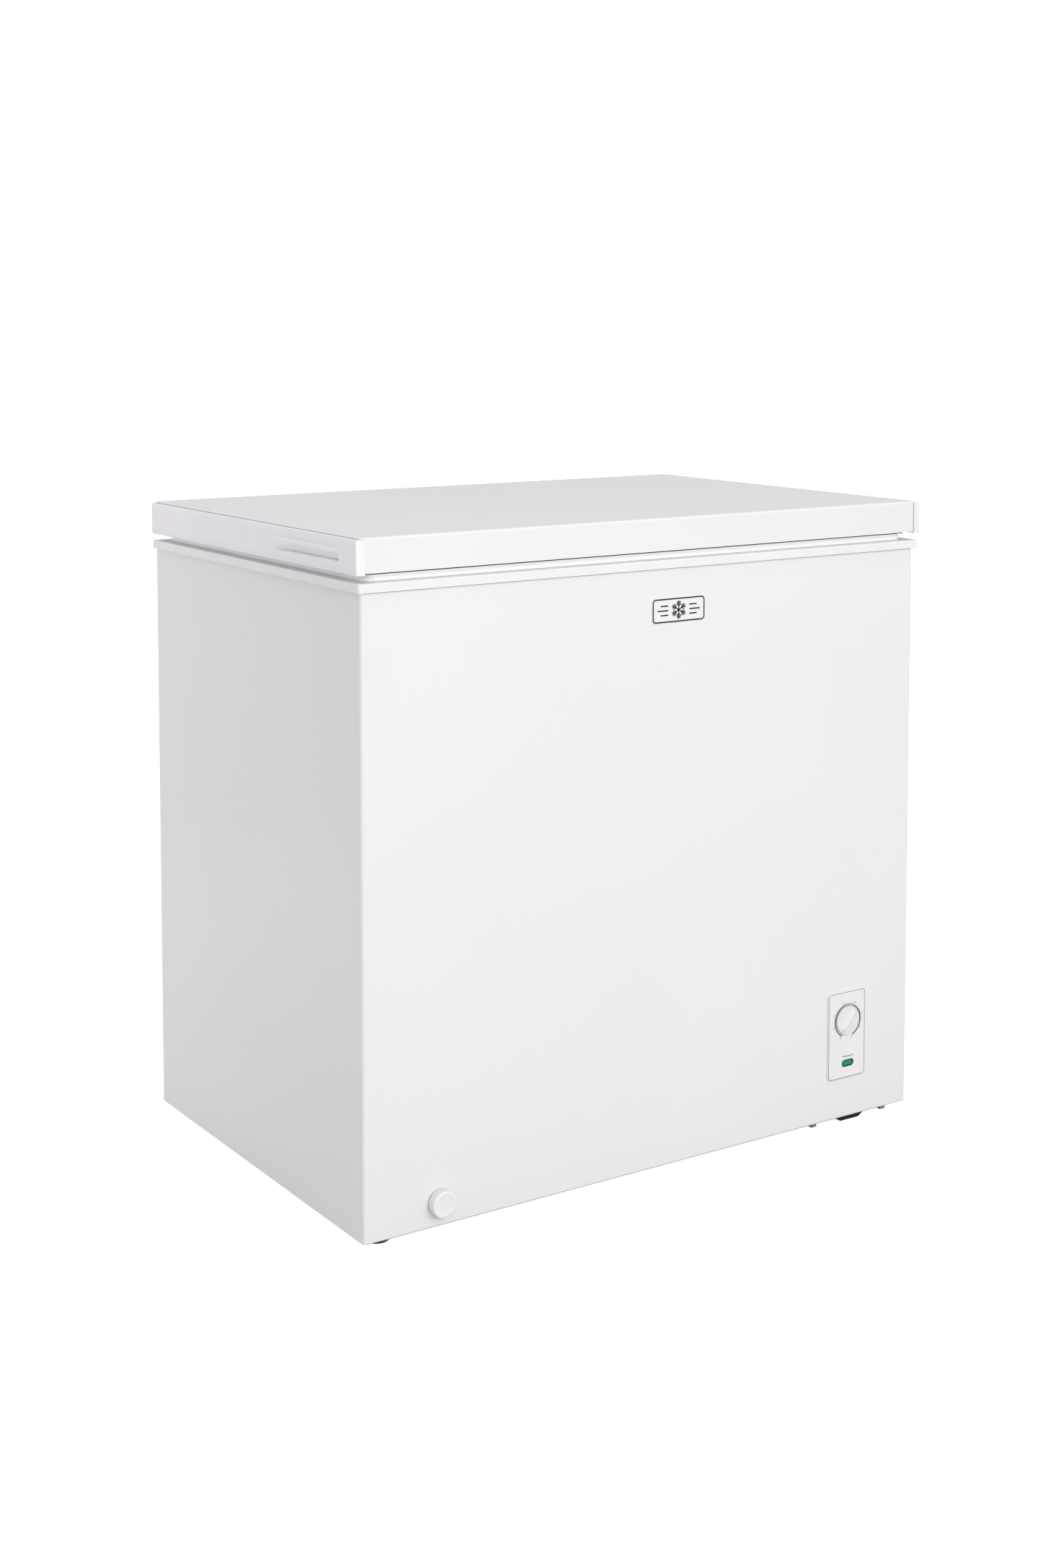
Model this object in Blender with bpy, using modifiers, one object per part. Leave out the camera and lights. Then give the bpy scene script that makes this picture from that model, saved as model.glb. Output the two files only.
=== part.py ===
"""Chest freezer built as an assembly of separate parts.

Metres, +Z up. The front faces -Y, the floor is Z = 0 and the machine
compartment is at the right (+X) end.
"""
import math

import bmesh
import bpy
from mathutils import Matrix, Vector

# ---------------------------------------------------------------- driving dimensions
HALF_W = 0.428           # cabinet half width
FRONT = -0.285           # cabinet front face
BACK = 0.278             # cabinet rear face
FOOT_H = 0.018           # floor to cabinet bottom edge
SHEET = 0.0009           # steel sheet thickness
BEND_R = 0.004           # cabinet front bends
GAP = 0.0003             # clearance between neighbouring parts

COLLAR_Z0 = 0.7862       # collar skirt bottom edge
COLLAR_Z1 = 0.7973       # collar sealing face
COLLAR_OUT = 0.005       # collar overhang, sides and front
COLLAR_BACK = 0.281      # collar rear edge

LID_Z0 = 0.8085          # lid skin bottom edge
LID_Z1 = 0.850           # lid top
LID_FRONT = -0.290       # lid front face
LID_BACK = 0.2765        # lid rear face
LID_TOP_HALF = 0.431     # half width of the top skin
LID_CAP_HALF = 0.436     # half width over the end caps
LID_SKIN_END = 0.4240    # half width of the skin's front flange
CAP_TOP = 0.8478         # top of the end caps
CAP_BOTTOM = 0.8065      # bottom of the end caps

TUB_HALF = 0.368         # tub inside half width
TUB_FRONT = -0.225
TUB_BACK = 0.218
TUB_FLOOR = 0.080
STEP_X = 0.112           # left face of the raised step inside the tub
STEP_Z = 0.345           # top of the raised step
LINER_T = 0.0015
TUB_R = 0.018            # tub corner radius

BAY_X = 0.172            # machine compartment, left wall
BAY_TOP = 0.280          # machine compartment, top wall

PANEL_X = 0.3170         # control panel centre
PANEL_Z = 0.1318
PANEL_W = 0.0660
PANEL_H = 0.1195
KNOB_X = 0.3180
KNOB_Z = 0.1514
LENS_X = 0.3192
LENS_Z = 0.0924

DRAIN_X = -0.3245        # drain line, shared by tub outlet and spout
DRAIN_Z = 0.0475
DRAIN_Y = -0.190         # tub outlet position

HINGE_X = 0.290          # hinge centre distance from the middle
HINGE_Y = 0.2885
HINGE_Z = 0.8035

COMP_X = 0.338           # compressor centre
COMP_Y = 0.060
MOUNTS = [(-0.048, -0.082), (0.048, -0.082), (-0.048, 0.082), (0.048, 0.082)]


# ---------------------------------------------------------------- scene helpers
def clear_scene():
    for ob in list(bpy.data.objects):
        bpy.data.objects.remove(ob, do_unlink=True)


def new_collection(name):
    coll = bpy.data.collections.new(name)
    bpy.context.scene.collection.children.link(coll)
    return coll


clear_scene()
PARTS = new_collection("chest_freezer")
CUTTERS = new_collection("cutters")


def material(name, colour, rough=0.5, metal=0.0):
    mat = bpy.data.materials.new(name)
    mat.use_nodes = True
    node = mat.node_tree.nodes["Principled BSDF"]
    node.inputs["Base Color"].default_value = (*colour, 1.0)
    node.inputs["Roughness"].default_value = rough
    node.inputs["Metallic"].default_value = metal
    return mat


def link(ob, cutter):
    """Put an object with the parts, or with the hidden cutters."""
    if cutter:
        CUTTERS.objects.link(ob)
        ob.hide_render = True
        ob.display_type = "WIRE"
    else:
        PARTS.objects.link(ob)
    return ob


def solid(name, bm, origin=(0.0, 0.0, 0.0), cutter=False):
    """Turn a bmesh in world metres into an object whose origin is at `origin`."""
    bmesh.ops.translate(bm, verts=bm.verts, vec=-Vector(origin))
    bmesh.ops.recalc_face_normals(bm, faces=bm.faces)
    mesh = bpy.data.meshes.new(name)
    bm.to_mesh(mesh)
    bm.free()
    ob = bpy.data.objects.new(name, mesh)
    ob.location = origin
    return link(ob, cutter)


def paint(ob, mat):
    ob.data.materials.clear()
    ob.data.materials.append(mat)
    return ob


def boolean(ob, other, how):
    mod = ob.modifiers.new(how.lower(), "BOOLEAN")
    mod.operation = how
    mod.solver = "EXACT"
    mod.object = other
    return ob


def as_cutter(ob, what):
    """Accept a bmesh or an object as the second body of a Boolean."""
    if isinstance(what, bmesh.types.BMesh):
        return solid(ob.name + "_tool", what, cutter=True)
    return what


def cut(ob, what):
    return boolean(ob, as_cutter(ob, what), "DIFFERENCE")


def join(ob, what):
    return boolean(ob, as_cutter(ob, what), "UNION")


# ---------------------------------------------------------------- shape helpers
def along(edge, axis):
    d = (edge.verts[1].co - edge.verts[0].co).normalized()
    return abs(d["XYZ".index(axis)]) > 0.999


def round_edges(bm, edges, radius, segments=4):
    bmesh.ops.bevel(bm, geom=edges, offset=radius, segments=segments, profile=0.5,
                    affect="EDGES", clamp_overlap=True)


def box(x0, x1, y0, y1, z0, z1, radius=0.0, axis=None, segments=4):
    """Box between two corners; `axis` picks the edges to round, None rounds all."""
    bm = bmesh.new()
    bmesh.ops.create_cube(bm, size=1.0)
    bmesh.ops.scale(bm, verts=bm.verts, vec=(x1 - x0, y1 - y0, z1 - z0))
    bmesh.ops.translate(bm, verts=bm.verts, vec=((x0 + x1) / 2, (y0 + y1) / 2, (z0 + z1) / 2))
    if radius > 0.0:
        edges = [e for e in bm.edges if axis is None or along(e, axis)]
        round_edges(bm, edges, radius, segments)
    return bm


def rod(axis, centre, radius, a, b, steps=24):
    """Cylinder along an axis between coordinates a and b."""
    bm = bmesh.new()
    bmesh.ops.create_cone(bm, cap_ends=True, segments=steps, radius1=radius, radius2=radius,
                          depth=b - a)
    middle = Vector(centre)
    middle["XYZ".index(axis)] = (a + b) / 2
    bmesh.ops.transform(bm, matrix=Matrix.Translation(middle) @ axis_turn(axis), verts=bm.verts)
    return bm


def axis_turn(axis):
    """Rotation that lays the local Z axis along +X, or along -Y, or leaves it up."""
    if axis == "X":
        return Matrix.Rotation(math.radians(90), 4, "Y")
    if axis == "Y":
        return Matrix.Rotation(math.radians(90), 4, "X")
    return Matrix.Identity(4)


def turned(name, profile, axis, centre, steps=24, closed=False, cutter=False):
    """Solid of revolution: a (radius, height) profile from the top down, with a Screw."""
    bm = bmesh.new()
    verts = [bm.verts.new((r, 0.0, h)) for r, h in profile]
    for v0, v1 in zip(verts[:-1], verts[1:]):
        bm.edges.new((v0, v1))
    if closed:
        bm.edges.new((verts[-1], verts[0]))
    mesh = bpy.data.meshes.new(name)
    bm.to_mesh(mesh)
    bm.free()
    ob = bpy.data.objects.new(name, mesh)
    ob.matrix_world = Matrix.Translation(centre) @ axis_turn(axis)
    mod = ob.modifiers.new("turn", "SCREW")
    mod.steps = steps
    mod.render_steps = steps
    mod.use_merge_vertices = True
    mod.merge_threshold = 0.00001
    mod.use_smooth_shade = True
    return link(ob, cutter)


def sleeve(name, axis, centre, outer, inner, low, high, steps=24, cutter=False):
    """Open tube wall between two heights along its axis."""
    profile = [(outer, high), (outer, low), (inner, low), (inner, high)]
    return turned(name, profile, axis, centre, steps, closed=True, cutter=cutter)


def curve_mesh(name, curve, matrix, cutter):
    """Bake a curve into a welded mesh object, so that it can be cut and joined."""
    source = bpy.data.objects.new(name + "_curve", curve)
    bpy.context.scene.collection.objects.link(source)
    source.matrix_world = matrix
    bpy.context.view_layer.update()
    graph = bpy.context.evaluated_depsgraph_get()
    mesh = bpy.data.meshes.new_from_object(source.evaluated_get(graph))
    mesh.name = name
    bm = bmesh.new()
    bm.from_mesh(mesh)
    bmesh.ops.remove_doubles(bm, verts=bm.verts, dist=0.00001)
    bmesh.ops.recalc_face_normals(bm, faces=bm.faces)
    bm.to_mesh(mesh)
    bm.free()
    ob = bpy.data.objects.new(name, mesh)
    ob.matrix_world = matrix
    bpy.data.objects.remove(source, do_unlink=True)
    bpy.data.curves.remove(curve)
    return link(ob, cutter)


PLANES = {
    "X": Matrix(((0, 0, 1, 0), (1, 0, 0, 0), (0, 1, 0, 0), (0, 0, 0, 1))),
    "Y": Matrix(((1, 0, 0, 0), (0, 0, -1, 0), (0, 1, 0, 0), (0, 0, 0, 1))),
    "Z": Matrix.Identity(4),
}


def plate(name, outlines, axis, a, b, cutter=False):
    """Flat outlines extruded along an axis from a to b; inner outlines are holes.

    Outline coordinates are (Y, Z) for X, (X, Z) for Y and (X, Y) for Z.
    """
    curve = bpy.data.curves.new(name, "CURVE")
    curve.dimensions = "2D"
    curve.fill_mode = "BOTH"
    curve.extrude = (b - a) / 2
    for outline in outlines:
        spline = curve.splines.new("POLY")
        spline.points.add(len(outline) - 1)
        for point, (u, v) in zip(spline.points, outline):
            point.co = (u, v, 0.0, 1.0)
        spline.use_cyclic_u = True
    shift = Vector((0.0, 0.0, 0.0))
    shift["XYZ".index(axis)] = (a + b) / 2
    return curve_mesh(name, curve, Matrix.Translation(shift) @ PLANES[axis], cutter)


def tube(name, path, radius, resolution=1, cutter=False):
    """Round bar or wire along a path, as a curve with a bevel and filled ends."""
    curve = bpy.data.curves.new(name, "CURVE")
    curve.dimensions = "3D"
    curve.bevel_depth = radius
    curve.bevel_resolution = resolution
    curve.use_fill_caps = True
    spline = curve.splines.new("POLY")
    spline.points.add(len(path) - 1)
    for point, place in zip(spline.points, path):
        point.co = (*place, 1.0)
    return curve_mesh(name, curve, Matrix.Identity(4), cutter)


def arc(cx, cy, r, a0, a1, steps=5):
    out = []
    for k in range(steps + 1):
        a = math.radians(a0 + (a1 - a0) * k / steps)
        out.append((cx + r * math.cos(a), cy + r * math.sin(a)))
    return out


def rounded_rectangle(x0, x1, y0, y1, r, steps=4):
    out = arc(x1 - r, y0 + r, r, -90, 0, steps) + arc(x1 - r, y1 - r, r, 0, 90, steps)
    return out + arc(x0 + r, y1 - r, r, 90, 180, steps) + arc(x0 + r, y0 + r, r, 180, 270, steps)


def rounded_path(points, radius, segments=3):
    """Replace the inner corners of a polyline by arcs."""
    pts = [Vector(p) for p in points]
    out = [pts[0]]
    for before, p, after in zip(pts[:-2], pts[1:-1], pts[2:]):
        d0 = (before - p).normalized()
        d1 = (after - p).normalized()
        half = d0.angle(d1) / 2.0
        run = radius / math.tan(half)
        middle = p + (d0 + d1).normalized() * (radius / math.sin(half))
        start = p + d0 * run - middle
        end = p + d1 * run - middle
        sweep = start.angle(end)
        for k in range(segments + 1):
            t = k / segments
            v = (start * math.sin((1 - t) * sweep) + end * math.sin(t * sweep)) / math.sin(sweep)
            out.append(middle + v)
    out.append(pts[-1])
    return out


def helix(cx, cy, radius, z0, pitch, turns, per_turn):
    out = []
    for k in range(turns * per_turn + 1):
        a = 2.0 * math.pi * k / per_turn
        z = z0 + pitch * k / per_turn
        out.append(Vector((cx + radius * math.cos(a), cy + radius * math.sin(a), z)))
    return out


# ---------------------------------------------------------------- materials
STEEL_WHITE = material("white_painted_steel", (0.86, 0.86, 0.85), 0.35)
PLASTIC_WHITE = material("white_plastic", (0.88, 0.88, 0.87), 0.4)
LINER_WHITE = material("liner_white", (0.82, 0.83, 0.84), 0.45)
GALVANISED = material("galvanised_steel", (0.55, 0.56, 0.57), 0.45, 0.9)
FOAM = material("foam", (0.83, 0.76, 0.55), 0.95)
COPPER = material("copper", (0.72, 0.40, 0.26), 0.35, 1.0)
ALUMINIUM = material("aluminium", (0.75, 0.76, 0.77), 0.4, 1.0)
BLACK_STEEL = material("black_painted_steel", (0.03, 0.03, 0.03), 0.4)
RUBBER = material("black_rubber", (0.04, 0.04, 0.04), 0.8)
GASKET_GREY = material("gasket_grey", (0.62, 0.63, 0.63), 0.65)
DARK_PLASTIC = material("dark_plastic", (0.10, 0.10, 0.11), 0.5)
ZINC = material("zinc_steel", (0.66, 0.66, 0.64), 0.35, 1.0)
GREEN_LENS = material("green_lens", (0.02, 0.45, 0.27), 0.2)
LAMP_GLASS = material("lamp", (0.75, 0.85, 0.70), 0.2)
WIRE_WHITE = material("coated_wire", (0.85, 0.86, 0.86), 0.4)
BADGE = material("badge", (0.80, 0.80, 0.80), 0.3)


# ---------------------------------------------------------------- cabinet shell
def wrap_side(inset, lip):
    """U outline of the cabinet wrap from the left rear lip to the right rear lip."""
    x = HALF_W - inset
    y0 = FRONT + inset
    y1 = BACK - inset
    r = BEND_R - inset
    pts = [(-x + lip, y1), (-x, y1)]
    pts += arc(-x + r, y0 + r, r, 180, 270)
    pts += arc(x - r, y0 + r, r, 270, 360)
    pts += [(x, y1), (x - lip, y1)]
    return pts


def outer_cabinet():
    outline = wrap_side(0.0, 0.014) + wrap_side(SHEET, 0.014 - SHEET)[::-1]
    ob = plate("outer_cabinet", [outline], "Z", FOOT_H, 0.7900)
    w, h = PANEL_W / 2 - 0.0035, PANEL_H / 2 - 0.0035
    cut(ob, box(PANEL_X - w, PANEL_X + w, FRONT - 0.01, FRONT + 0.01, PANEL_Z - h, PANEL_Z + h))
    cut(ob, rod("Y", (DRAIN_X, 0.0, DRAIN_Z), 0.0120, FRONT - 0.01, FRONT + 0.01))
    return paint(ob, STEEL_WHITE)


def rear_panel():
    x = HALF_W - SHEET - GAP
    y = BACK - SHEET - GAP
    outline = [(-x, 0.0195), (BAY_X + 0.002, 0.0195), (BAY_X + 0.002, BAY_TOP + 0.004),
               (x, BAY_TOP + 0.004), (x, 0.7895), (-x, 0.7895)]
    return paint(plate("rear_panel", [outline], "Y", y - 0.0010, y), GALVANISED)


def bottom_panel():
    x = HALF_W - SHEET - GAP
    bm = box(-x, BAY_X - GAP, FRONT + SHEET + GAP, BACK - 0.0026, 0.0190, 0.0200, BEND_R, "Z", 3)
    return paint(solid("bottom_panel", bm), GALVANISED)


def machine_bay_panel():
    """Bent sheet that walls the machine compartment off from the insulation."""
    x = HALF_W - SHEET - GAP
    t = 0.0010
    y0, y1 = FRONT + SHEET + GAP, BACK - 0.0026
    top = box(BAY_X, x, y0, y1, BAY_TOP - t, BAY_TOP)
    corner = [e for e in top.edges if along(e, "Z") and min(v.co.x for v in e.verts) > x - 1e-5]
    round_edges(top, corner, BEND_R, 3)
    ob = solid("machine_bay_panel", top)
    join(ob, box(BAY_X, BAY_X + t, y0, y1, 0.0190, BAY_TOP - t / 2))
    return paint(ob, GALVANISED)


def foam_insulation():
    x = HALF_W - 0.0066
    y0, y1 = FRONT + 0.0066, BACK - 0.0030
    ob = solid("foam_insulation", box(-x, x, y0, y1, 0.0203, 0.7842, 0.0120, "Z", 3))
    cut(ob, box(BAY_X - GAP, 0.5, -0.4, 0.4, 0.0, BAY_TOP + GAP))
    g = 0.0100
    low = TUB_FLOOR - LINER_T - GAP
    shelf = STEP_Z - LINER_T - GAP
    cut(ob, box(-TUB_HALF - g, TUB_HALF + g, TUB_FRONT - g, TUB_BACK + g, shelf, 0.9))
    cut(ob, box(-TUB_HALF - g, STEP_X + LINER_T + GAP, TUB_FRONT - g, TUB_BACK + g,
                low, shelf + 0.01))
    r = 0.0090
    cut(ob, box(DRAIN_X - r, DRAIN_X + r, FRONT - 0.01, DRAIN_Y + r, DRAIN_Z - r, DRAIN_Z + r))
    s = 0.0135
    cut(ob, box(DRAIN_X - s, DRAIN_X + s, FRONT - 0.01, FRONT + 0.058, DRAIN_Z - s, DRAIN_Z + s))
    cut(ob, rod("Z", (DRAIN_X, DRAIN_Y, 0.0), 0.0125, DRAIN_Z + 0.004, 0.1))
    return paint(ob, FOAM)


def tub_shape(grow, top):
    """The tub's two-level form, enlarged by `grow` on every side."""
    x = TUB_HALF + grow
    outline = [(-x, TUB_FLOOR - grow), (STEP_X + grow, TUB_FLOOR - grow),
               (STEP_X + grow, STEP_Z - grow), (x, STEP_Z - grow), (x, top), (-x, top)]
    ob = plate("tub_shape", [outline], "Y", TUB_FRONT - grow, TUB_BACK + grow, cutter=True)
    bm = bmesh.new()
    bm.from_mesh(ob.data)
    bmesh.ops.transform(bm, matrix=ob.matrix_world, verts=bm.verts)
    bmesh.ops.dissolve_limit(bm, angle_limit=0.01, verts=bm.verts, edges=bm.edges)
    bpy.data.objects.remove(ob, do_unlink=True)
    corners = [e for e in bm.edges if along(e, "Z") and abs(e.verts[0].co.x) > TUB_HALF - 0.001]
    round_edges(bm, corners, TUB_R + grow, 4)
    return bm


def inner_liner():
    """Tub with a raised step over the machine compartment and a rim flange."""
    ob = solid("inner_liner", tub_shape(LINER_T, 0.7860))
    join(ob, box(-TUB_HALF - 0.024, TUB_HALF + 0.024, TUB_FRONT - 0.024, TUB_BACK + 0.024,
                 0.7846, 0.7862, 0.02, "Z", 3))
    cut(ob, tub_shape(0.0, 0.9))
    cut(ob, rod("Z", (DRAIN_X, DRAIN_Y, 0.0), 0.0105, 0.0, 0.1))
    return paint(ob, LINER_WHITE)


def evaporator_coil():
    """Tube wound round the outside of the tub, above the step."""
    mid = 0.00575
    x, y0, y1 = TUB_HALF + mid, TUB_FRONT - mid, TUB_BACK + mid
    corners = [(x, y1), (-x, y1), (-x, y0), (x, y0)]
    pts = [(*corners[k % 4], 0.410 + 0.320 * k / 16) for k in range(17)]
    path = rounded_path(pts, 0.024, segments=5)
    return paint(tube("evaporator_coil", path, 0.0036, 1), ALUMINIUM)


def condenser_coil():
    """Serpentine tube behind the side and front sheets."""
    x = HALF_W - 0.0037
    y0 = FRONT + 0.0037
    y1 = BACK - 0.060
    pts = []
    for k in range(6):
        z = 0.380 + 0.065 * k
        run = [(x, y1, z), (x, y0, z), (-x, y0, z), (-x, y1, z)]
        pts += run if k % 2 == 0 else run[::-1]
    return paint(tube("condenser_coil", rounded_path(pts, 0.010), 0.0023, 1), BLACK_STEEL)


def top_collar():
    """Plastic frame that caps the cabinet wall and hooks into the tub."""
    x = HALF_W + COLLAR_OUT
    y0 = FRONT - COLLAR_OUT
    bm = box(-x, x, y0, COLLAR_BACK, COLLAR_Z0, COLLAR_Z1, 0.003, "Z", 3)
    top = [e for e in bm.edges if min(v.co.z for v in e.verts) > COLLAR_Z1 - 1e-5]
    round_edges(bm, top, 0.0016, 2)
    ob = solid("top_collar", bm)
    lip = 0.0025
    cut(ob, box(-HALF_W - GAP, HALF_W + GAP, FRONT - GAP, BACK + GAP, 0.70, 0.7945))
    join(ob, box(-TUB_HALF + GAP, TUB_HALF - GAP, TUB_FRONT + GAP, TUB_BACK - GAP,
                 0.7790, 0.7960, TUB_R - GAP, "Z", 4))
    cut(ob, box(-TUB_HALF + lip, TUB_HALF - lip, TUB_FRONT + lip, TUB_BACK - lip,
                0.70, 0.90, TUB_R - lip, "Z", 4))
    return paint(ob, PLASTIC_WHITE)


def badge_plate():
    bm = box(-0.0121, 0.0701, FRONT - 0.0012, FRONT - GAP, 0.7169, 0.7477, 0.0050, "Y", 4)
    return paint(solid("badge_plate", bm), BADGE)


# ---------------------------------------------------------------- control panel
def control_panel():
    """Bezel plate with a box behind it, a dial recess and a lens slot."""
    w, h = PANEL_W / 2, PANEL_H / 2
    bm = box(PANEL_X - w, PANEL_X + w, FRONT - 0.0026, FRONT - GAP,
             PANEL_Z - h, PANEL_Z + h, 0.0060, "Y", 4)
    front = [e for e in bm.edges if max(v.co.y for v in e.verts) < FRONT - 0.0025]
    round_edges(bm, front, 0.0012, 2)
    ob = solid("control_panel", bm)
    w, h = w - 0.0040, h - 0.0040
    join(ob, box(PANEL_X - w, PANEL_X + w, FRONT - 0.0010, FRONT + 0.0240,
                 PANEL_Z - h, PANEL_Z + h))
    w, h = w - 0.0018, h - 0.0018
    cut(ob, box(PANEL_X - w, PANEL_X + w, FRONT + 0.0020, FRONT + 0.0300,
                PANEL_Z - h, PANEL_Z + h))
    cut(ob, rod("Y", (KNOB_X, 0.0, KNOB_Z), 0.0205, FRONT - 0.0100, FRONT - 0.0012, 40))
    cut(ob, rod("Y", (KNOB_X, 0.0, KNOB_Z), 0.0038, FRONT - 0.0100, FRONT + 0.0100, 20))
    cut(ob, stadium("lens_slot", 0.0110, 0.0050, FRONT - 0.0100, FRONT + 0.0100, cutter=True))
    return paint(ob, PLASTIC_WHITE)


def stadium(name, half, r, y0, y1, cutter=False):
    """Slot shape with round ends, centred on the indicator lens."""
    outline = arc(LENS_X + half - r, LENS_Z, r, -90, 90, 6)
    outline += arc(LENS_X - half + r, LENS_Z, r, 90, 270, 6)
    return plate(name, [outline], "Y", y0, y1, cutter)


def thermostat_knob():
    """Round dial with a raised grip bar, hollow round the shaft."""
    base = 0.0016
    profile = [(0.0, base + 0.0034), (0.0185, base + 0.0034), (0.0194, base + 0.0026),
               (0.0196, base), (0.0, base)]
    ob = turned("thermostat_knob", profile, "Y", (KNOB_X, FRONT, KNOB_Z), 40)
    grip = box(-0.0178, 0.0178, -0.0092, -0.0030, -0.0040, 0.0040, 0.0024, None, 2)
    turn = Matrix.Rotation(math.radians(-52.0), 4, "Y")
    place = Matrix.Translation((KNOB_X, FRONT, KNOB_Z))
    bmesh.ops.transform(grip, matrix=place @ turn, verts=grip.verts)
    join(ob, grip)
    cut(ob, rod("Y", (KNOB_X, 0.0, KNOB_Z), 0.0033, FRONT - 0.0068, FRONT + 0.01, 20))
    return paint(ob, PLASTIC_WHITE)


def thermostat_body():
    y0 = FRONT + 0.0024
    r = 0.0180
    bm = box(KNOB_X - r, KNOB_X + r, y0, y0 + 0.0320, KNOB_Z - r, KNOB_Z + r, 0.003, "Y", 2)
    ob = solid("thermostat_body", bm)
    join(ob, rod("Y", (KNOB_X, 0.0, KNOB_Z), 0.0029, FRONT - 0.0064, y0 + 0.005, 16))
    return paint(ob, ZINC)


def indicator():
    paint(stadium("indicator_lens", 0.0106, 0.0046, FRONT - 0.0018, FRONT + 0.0016), GREEN_LENS)
    profile = [(0.0, 0.0), (0.0020, -0.0004), (0.0034, -0.0020), (0.0034, -0.0160), (0.0, -0.0160)]
    lamp = turned("indicator_lamp", profile, "Y", (LENS_X, FRONT + 0.0022, LENS_Z), 16)
    paint(lamp, LAMP_GLASS)


# ---------------------------------------------------------------- drain
def drain_tube():
    """Elbow from the tub floor to the front, open at both ends."""
    start = Vector((DRAIN_X, DRAIN_Y, TUB_FLOOR - LINER_T - GAP))
    corner = Vector((DRAIN_X, DRAIN_Y, DRAIN_Z))
    end = Vector((DRAIN_X, FRONT + 0.020, DRAIN_Z))
    ob = tube("drain_tube", rounded_path([start, corner, end], 0.011, 4), 0.0068, 3)
    up, out = Vector((0.0, 0.0, 0.01)), Vector((0.0, -0.01, 0.0))
    cut(ob, tube("drain_bore", rounded_path([start + up, corner, end + out], 0.011, 4),
                 0.0052, 3, cutter=True))
    return paint(ob, PLASTIC_WHITE)


def drain_spout():
    ob = sleeve("drain_spout", "Y", (DRAIN_X, FRONT, DRAIN_Z), 0.0105, 0.0074, -0.0500, 0.0105, 28)
    return paint(ob, PLASTIC_WHITE)


def drain_cap():
    """Cap with a milled rim, open at the back over the end of the spout."""
    front = FRONT - 0.0140
    teeth = 36
    outline = []
    for k in range(teeth * 2):
        a = math.pi * k / teeth
        r = 0.0166 if k % 2 == 0 else 0.0160
        outline.append((r * math.cos(a), r * math.sin(a)))
    ob = plate("drain_cap", [outline], "Y", -0.0061, 0.0061)
    ob.data.transform(PLANES["Y"])
    ob.matrix_world = Matrix.Translation((DRAIN_X, FRONT - 0.0079, DRAIN_Z))
    centre = (DRAIN_X, 0.0, DRAIN_Z)
    cut(ob, rod("Y", centre, 0.0108, FRONT - 0.0108, FRONT, 28))
    cut(ob, sleeve("drain_cap_groove", "Y", (DRAIN_X, front, DRAIN_Z), 0.0134, 0.0060,
                   -0.0011, 0.0020, 28, cutter=True))
    return paint(ob, PLASTIC_WHITE)


def floor_drain_plug():
    profile = [(0.0, 0.0063), (0.0040, 0.0063), (0.0046, 0.0033), (0.0140, 0.0025),
               (0.0145, 0.0013), (0.0145, 0.0003), (0.0098, 0.0003), (0.0092, -0.0007),
               (0.0, -0.0007)]
    ob = turned("floor_drain_plug", profile, "Z", (DRAIN_X, DRAIN_Y, TUB_FLOOR), 24)
    return paint(ob, DARK_PLASTIC)


# ---------------------------------------------------------------- machine compartment
def compressor_base():
    """Flat bar across the compartment with two ribs hanging down under it."""
    z0 = 0.0200
    ob = solid("compressor_base", box(BAY_X + 0.0013, HALF_W - SHEET - GAP, -0.266, 0.262,
                                      z0, z0 + 0.0015))
    for x in (0.2755, 0.4000):
        join(ob, box(x, x + 0.0085, -0.2655, 0.2615, 0.0042, z0 + 0.0008))
    for dx, dy in MOUNTS:
        cut(ob, rod("Z", (COMP_X + dx, COMP_Y + dy, 0.0), 0.0052, 0.01, 0.03, 16))
    return paint(ob, GALVANISED)


def mount_rubber(name, dx, dy):
    profile = [(0.0, 0.0180), (0.0095, 0.0180), (0.0110, 0.0150), (0.0080, 0.0120),
               (0.0080, 0.0080), (0.0115, 0.0050), (0.0120, 0.0), (0.0048, 0.0),
               (0.0048, -0.0030), (0.0, -0.0030)]
    ob = turned(name, profile, "Z", (COMP_X + dx, COMP_Y + dy, 0.0218), 16)
    return paint(ob, RUBBER)


def compressor():
    """Welded two-half shell on a foot plate, with three tube stubs."""
    shell = [(0.0, 0.2050), (0.0300, 0.2030), (0.0520, 0.1940), (0.0640, 0.1760),
             (0.0680, 0.1500), (0.0680, 0.1280), (0.0715, 0.1270), (0.0715, 0.1220),
             (0.0680, 0.1210), (0.0670, 0.0850), (0.0600, 0.0600), (0.0400, 0.0490),
             (0.0, 0.0460)]
    ob = turned("compressor", shell, "Z", (COMP_X, COMP_Y, 0.0), 32)
    z = 0.0400 + GAP
    join(ob, box(COMP_X - 0.060, COMP_X + 0.060, COMP_Y - 0.094, COMP_Y + 0.094, z, z + 0.0030,
                 0.012, "Z", 3))
    join(ob, box(COMP_X - 0.040, COMP_X + 0.040, COMP_Y - 0.040, COMP_Y + 0.040,
                 z + 0.001, 0.070))
    for dx, y in ((0.0, -0.070), (-0.022, -0.066), (0.024, -0.064)):
        join(ob, rod("Y", (COMP_X + dx, 0.0, 0.150), 0.0045, COMP_Y + y - 0.014, COMP_Y, 12))
    return paint(ob, BLACK_STEEL)


def start_relay_cover():
    x1 = COMP_X - 0.0719
    bm = box(x1 - 0.030, x1, COMP_Y - 0.026, COMP_Y + 0.026, 0.084, 0.150, 0.004, None, 2)
    return paint(solid("start_relay_cover", bm), DARK_PLASTIC)


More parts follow.
